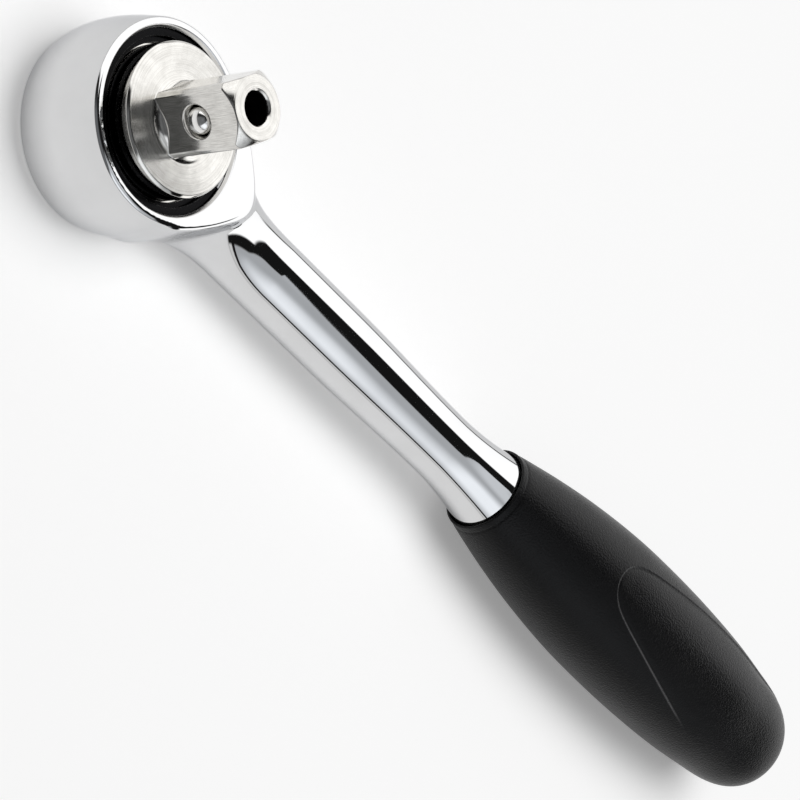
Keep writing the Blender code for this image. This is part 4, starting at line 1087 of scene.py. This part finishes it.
def make_world():
    """Studio round the object: a bright panel on one side, a dimmer one on the other, dark between them.

    Turn is the direction round the object and height the angle above the floor, both in degrees. Only
    mirrored rays see the panels; other rays get a plain dome, and the camera a pale backdrop.
    """
    world = bpy.data.worlds.new("studio")
    bpy.context.scene.world = world
    world.use_nodes = True
    tree = world.node_tree
    tree.nodes.clear()
    coordinates = tree.nodes.new("ShaderNodeTexCoord")
    spot = Paint(tree, coordinates.outputs["Generated"])
    x, y, z = (spot.part(axis) for axis in "XYZ")
    turn = spot.maths("ARCTAN2", y, x) * (180 / math.pi)
    height = spot.maths("ARCSINE", z) * (180 / math.pi)
    panel, gap, back, backdrop = 1.53, 0.01, 0.025, 0.92

    def between(value, low, high, soft):
        return value.step(low - soft, low + soft) * (1 - value.step(high - soft, high + soft))

    in_front = between(turn, -92, 166, 6.0)
    low_panel = (turn - height * 0.4 + 17).step(-2, 2) * (1 - height.step(30, 33.5))
    side_panel = (turn - height * 0.815 + 2).step(-2, 2) * (1 - height.step(64, 70))
    bright = spot.maths("MAXIMUM", low_panel, side_panel)
    far_line = (1 - turn.step(36, 48)) + turn.step(36, 48) * height.step(1.5, 5.5)
    edge = -27 + height.step(24, 45) * 15 + height.step(57, 62) * 26
    dim = (edge - turn).step(-2, 2) * height.step(6.6, 7.4) * (1 - height.step(72, 80))
    glow = (1 - turn.step(-58, -31)) * height.step(0, 24) * (1 - height.step(40, 58))
    dim_level = 0.53 + glow * 0.75 + height.step(56, 66) * 0.28
    apron = (edge - turn).step(-2, 2) * (1 - height.step(2.9, 3.7)) * 0.79
    level = bright * far_line * panel + (1 - bright) * (dim * dim_level + apron + gap)
    behind = back + between(turn, -165, -92, 12.0) * (1 - height.step(55, 68)) * 0.14
    level = in_front * level + (1 - in_front) * behind
    path = tree.nodes.new("ShaderNodeLightPath")
    mirrored = Paint(tree, path.outputs["Is Glossy Ray"])
    dome = 0.073 + height.step(0, 90) * 0.14
    level = mirrored * level + (1 - mirrored) * dome
    seen = Paint(tree, path.outputs["Is Camera Ray"])
    level = seen * backdrop + (1 - seen) * level
    background = tree.nodes.new("ShaderNodeBackground")
    tree.links.new(level.socket, background.inputs["Strength"])
    tint = (mirrored * dim * (1 - bright)).mix((1, 1, 1, 1), (0.95, 0.985, 1.03, 1))
    tree.links.new(tint.socket, background.inputs["Color"])
    output = tree.nodes.new("ShaderNodeOutputWorld")
    tree.links.new(background.outputs[0], output.inputs["Surface"])
    world.cycles.sampling_method = "NONE"


def make_lamp():
    """One soft box overhead, for the shadow and the matt surfaces."""
    lamp = bpy.data.lights.new("key_box", "AREA")
    lamp.shape = "RECTANGLE"
    lamp.size, lamp.size_y = 1.1, 1.1
    lamp.energy = 12.2
    key = new_object("key_box", lamp)
    key.location = (0.08, 0.1, 1.3)
    aim = Vector((0, 0, 0)) - key.location
    key.rotation_euler = aim.to_track_quat("-Z", "Y").to_euler()
    key.visible_glossy = False


def make_camera():
    """Camera at the photograph's viewing angle, with its focal length given in pixels of the picture."""
    focal_px, picture_px, sensor = 3500, 800, 36
    lens = bpy.data.cameras.new("photo_camera")
    lens.sensor_width = sensor
    lens.lens = focal_px / picture_px * sensor
    lens.clip_start = 0.01
    camera = new_object("photo_camera", lens)
    right = Vector((0.5509, 0.3327, 0.7654)).normalized()
    down = Vector((0.5726, -0.8179, -0.0567))
    down = (down - right * down.dot(right)).normalized()
    ahead = right.cross(down)
    turn = Matrix((right, -down, -ahead)).transposed().to_4x4()
    stand = (-0.45650, -0.34084, 0.47883)
    camera.matrix_world = Matrix.Translation(stand) @ turn
    bpy.context.scene.camera = camera


make_forging()
make_tooth_ring()
make_tang()
make_grip()
make_drive()
make_coils()
make_front_rings()
make_ball()
make_dial()
clad_inner_pieces()
make_floor()
make_world()
make_lamp()
make_camera()
bpy.context.scene.view_settings.view_transform = "Standard"
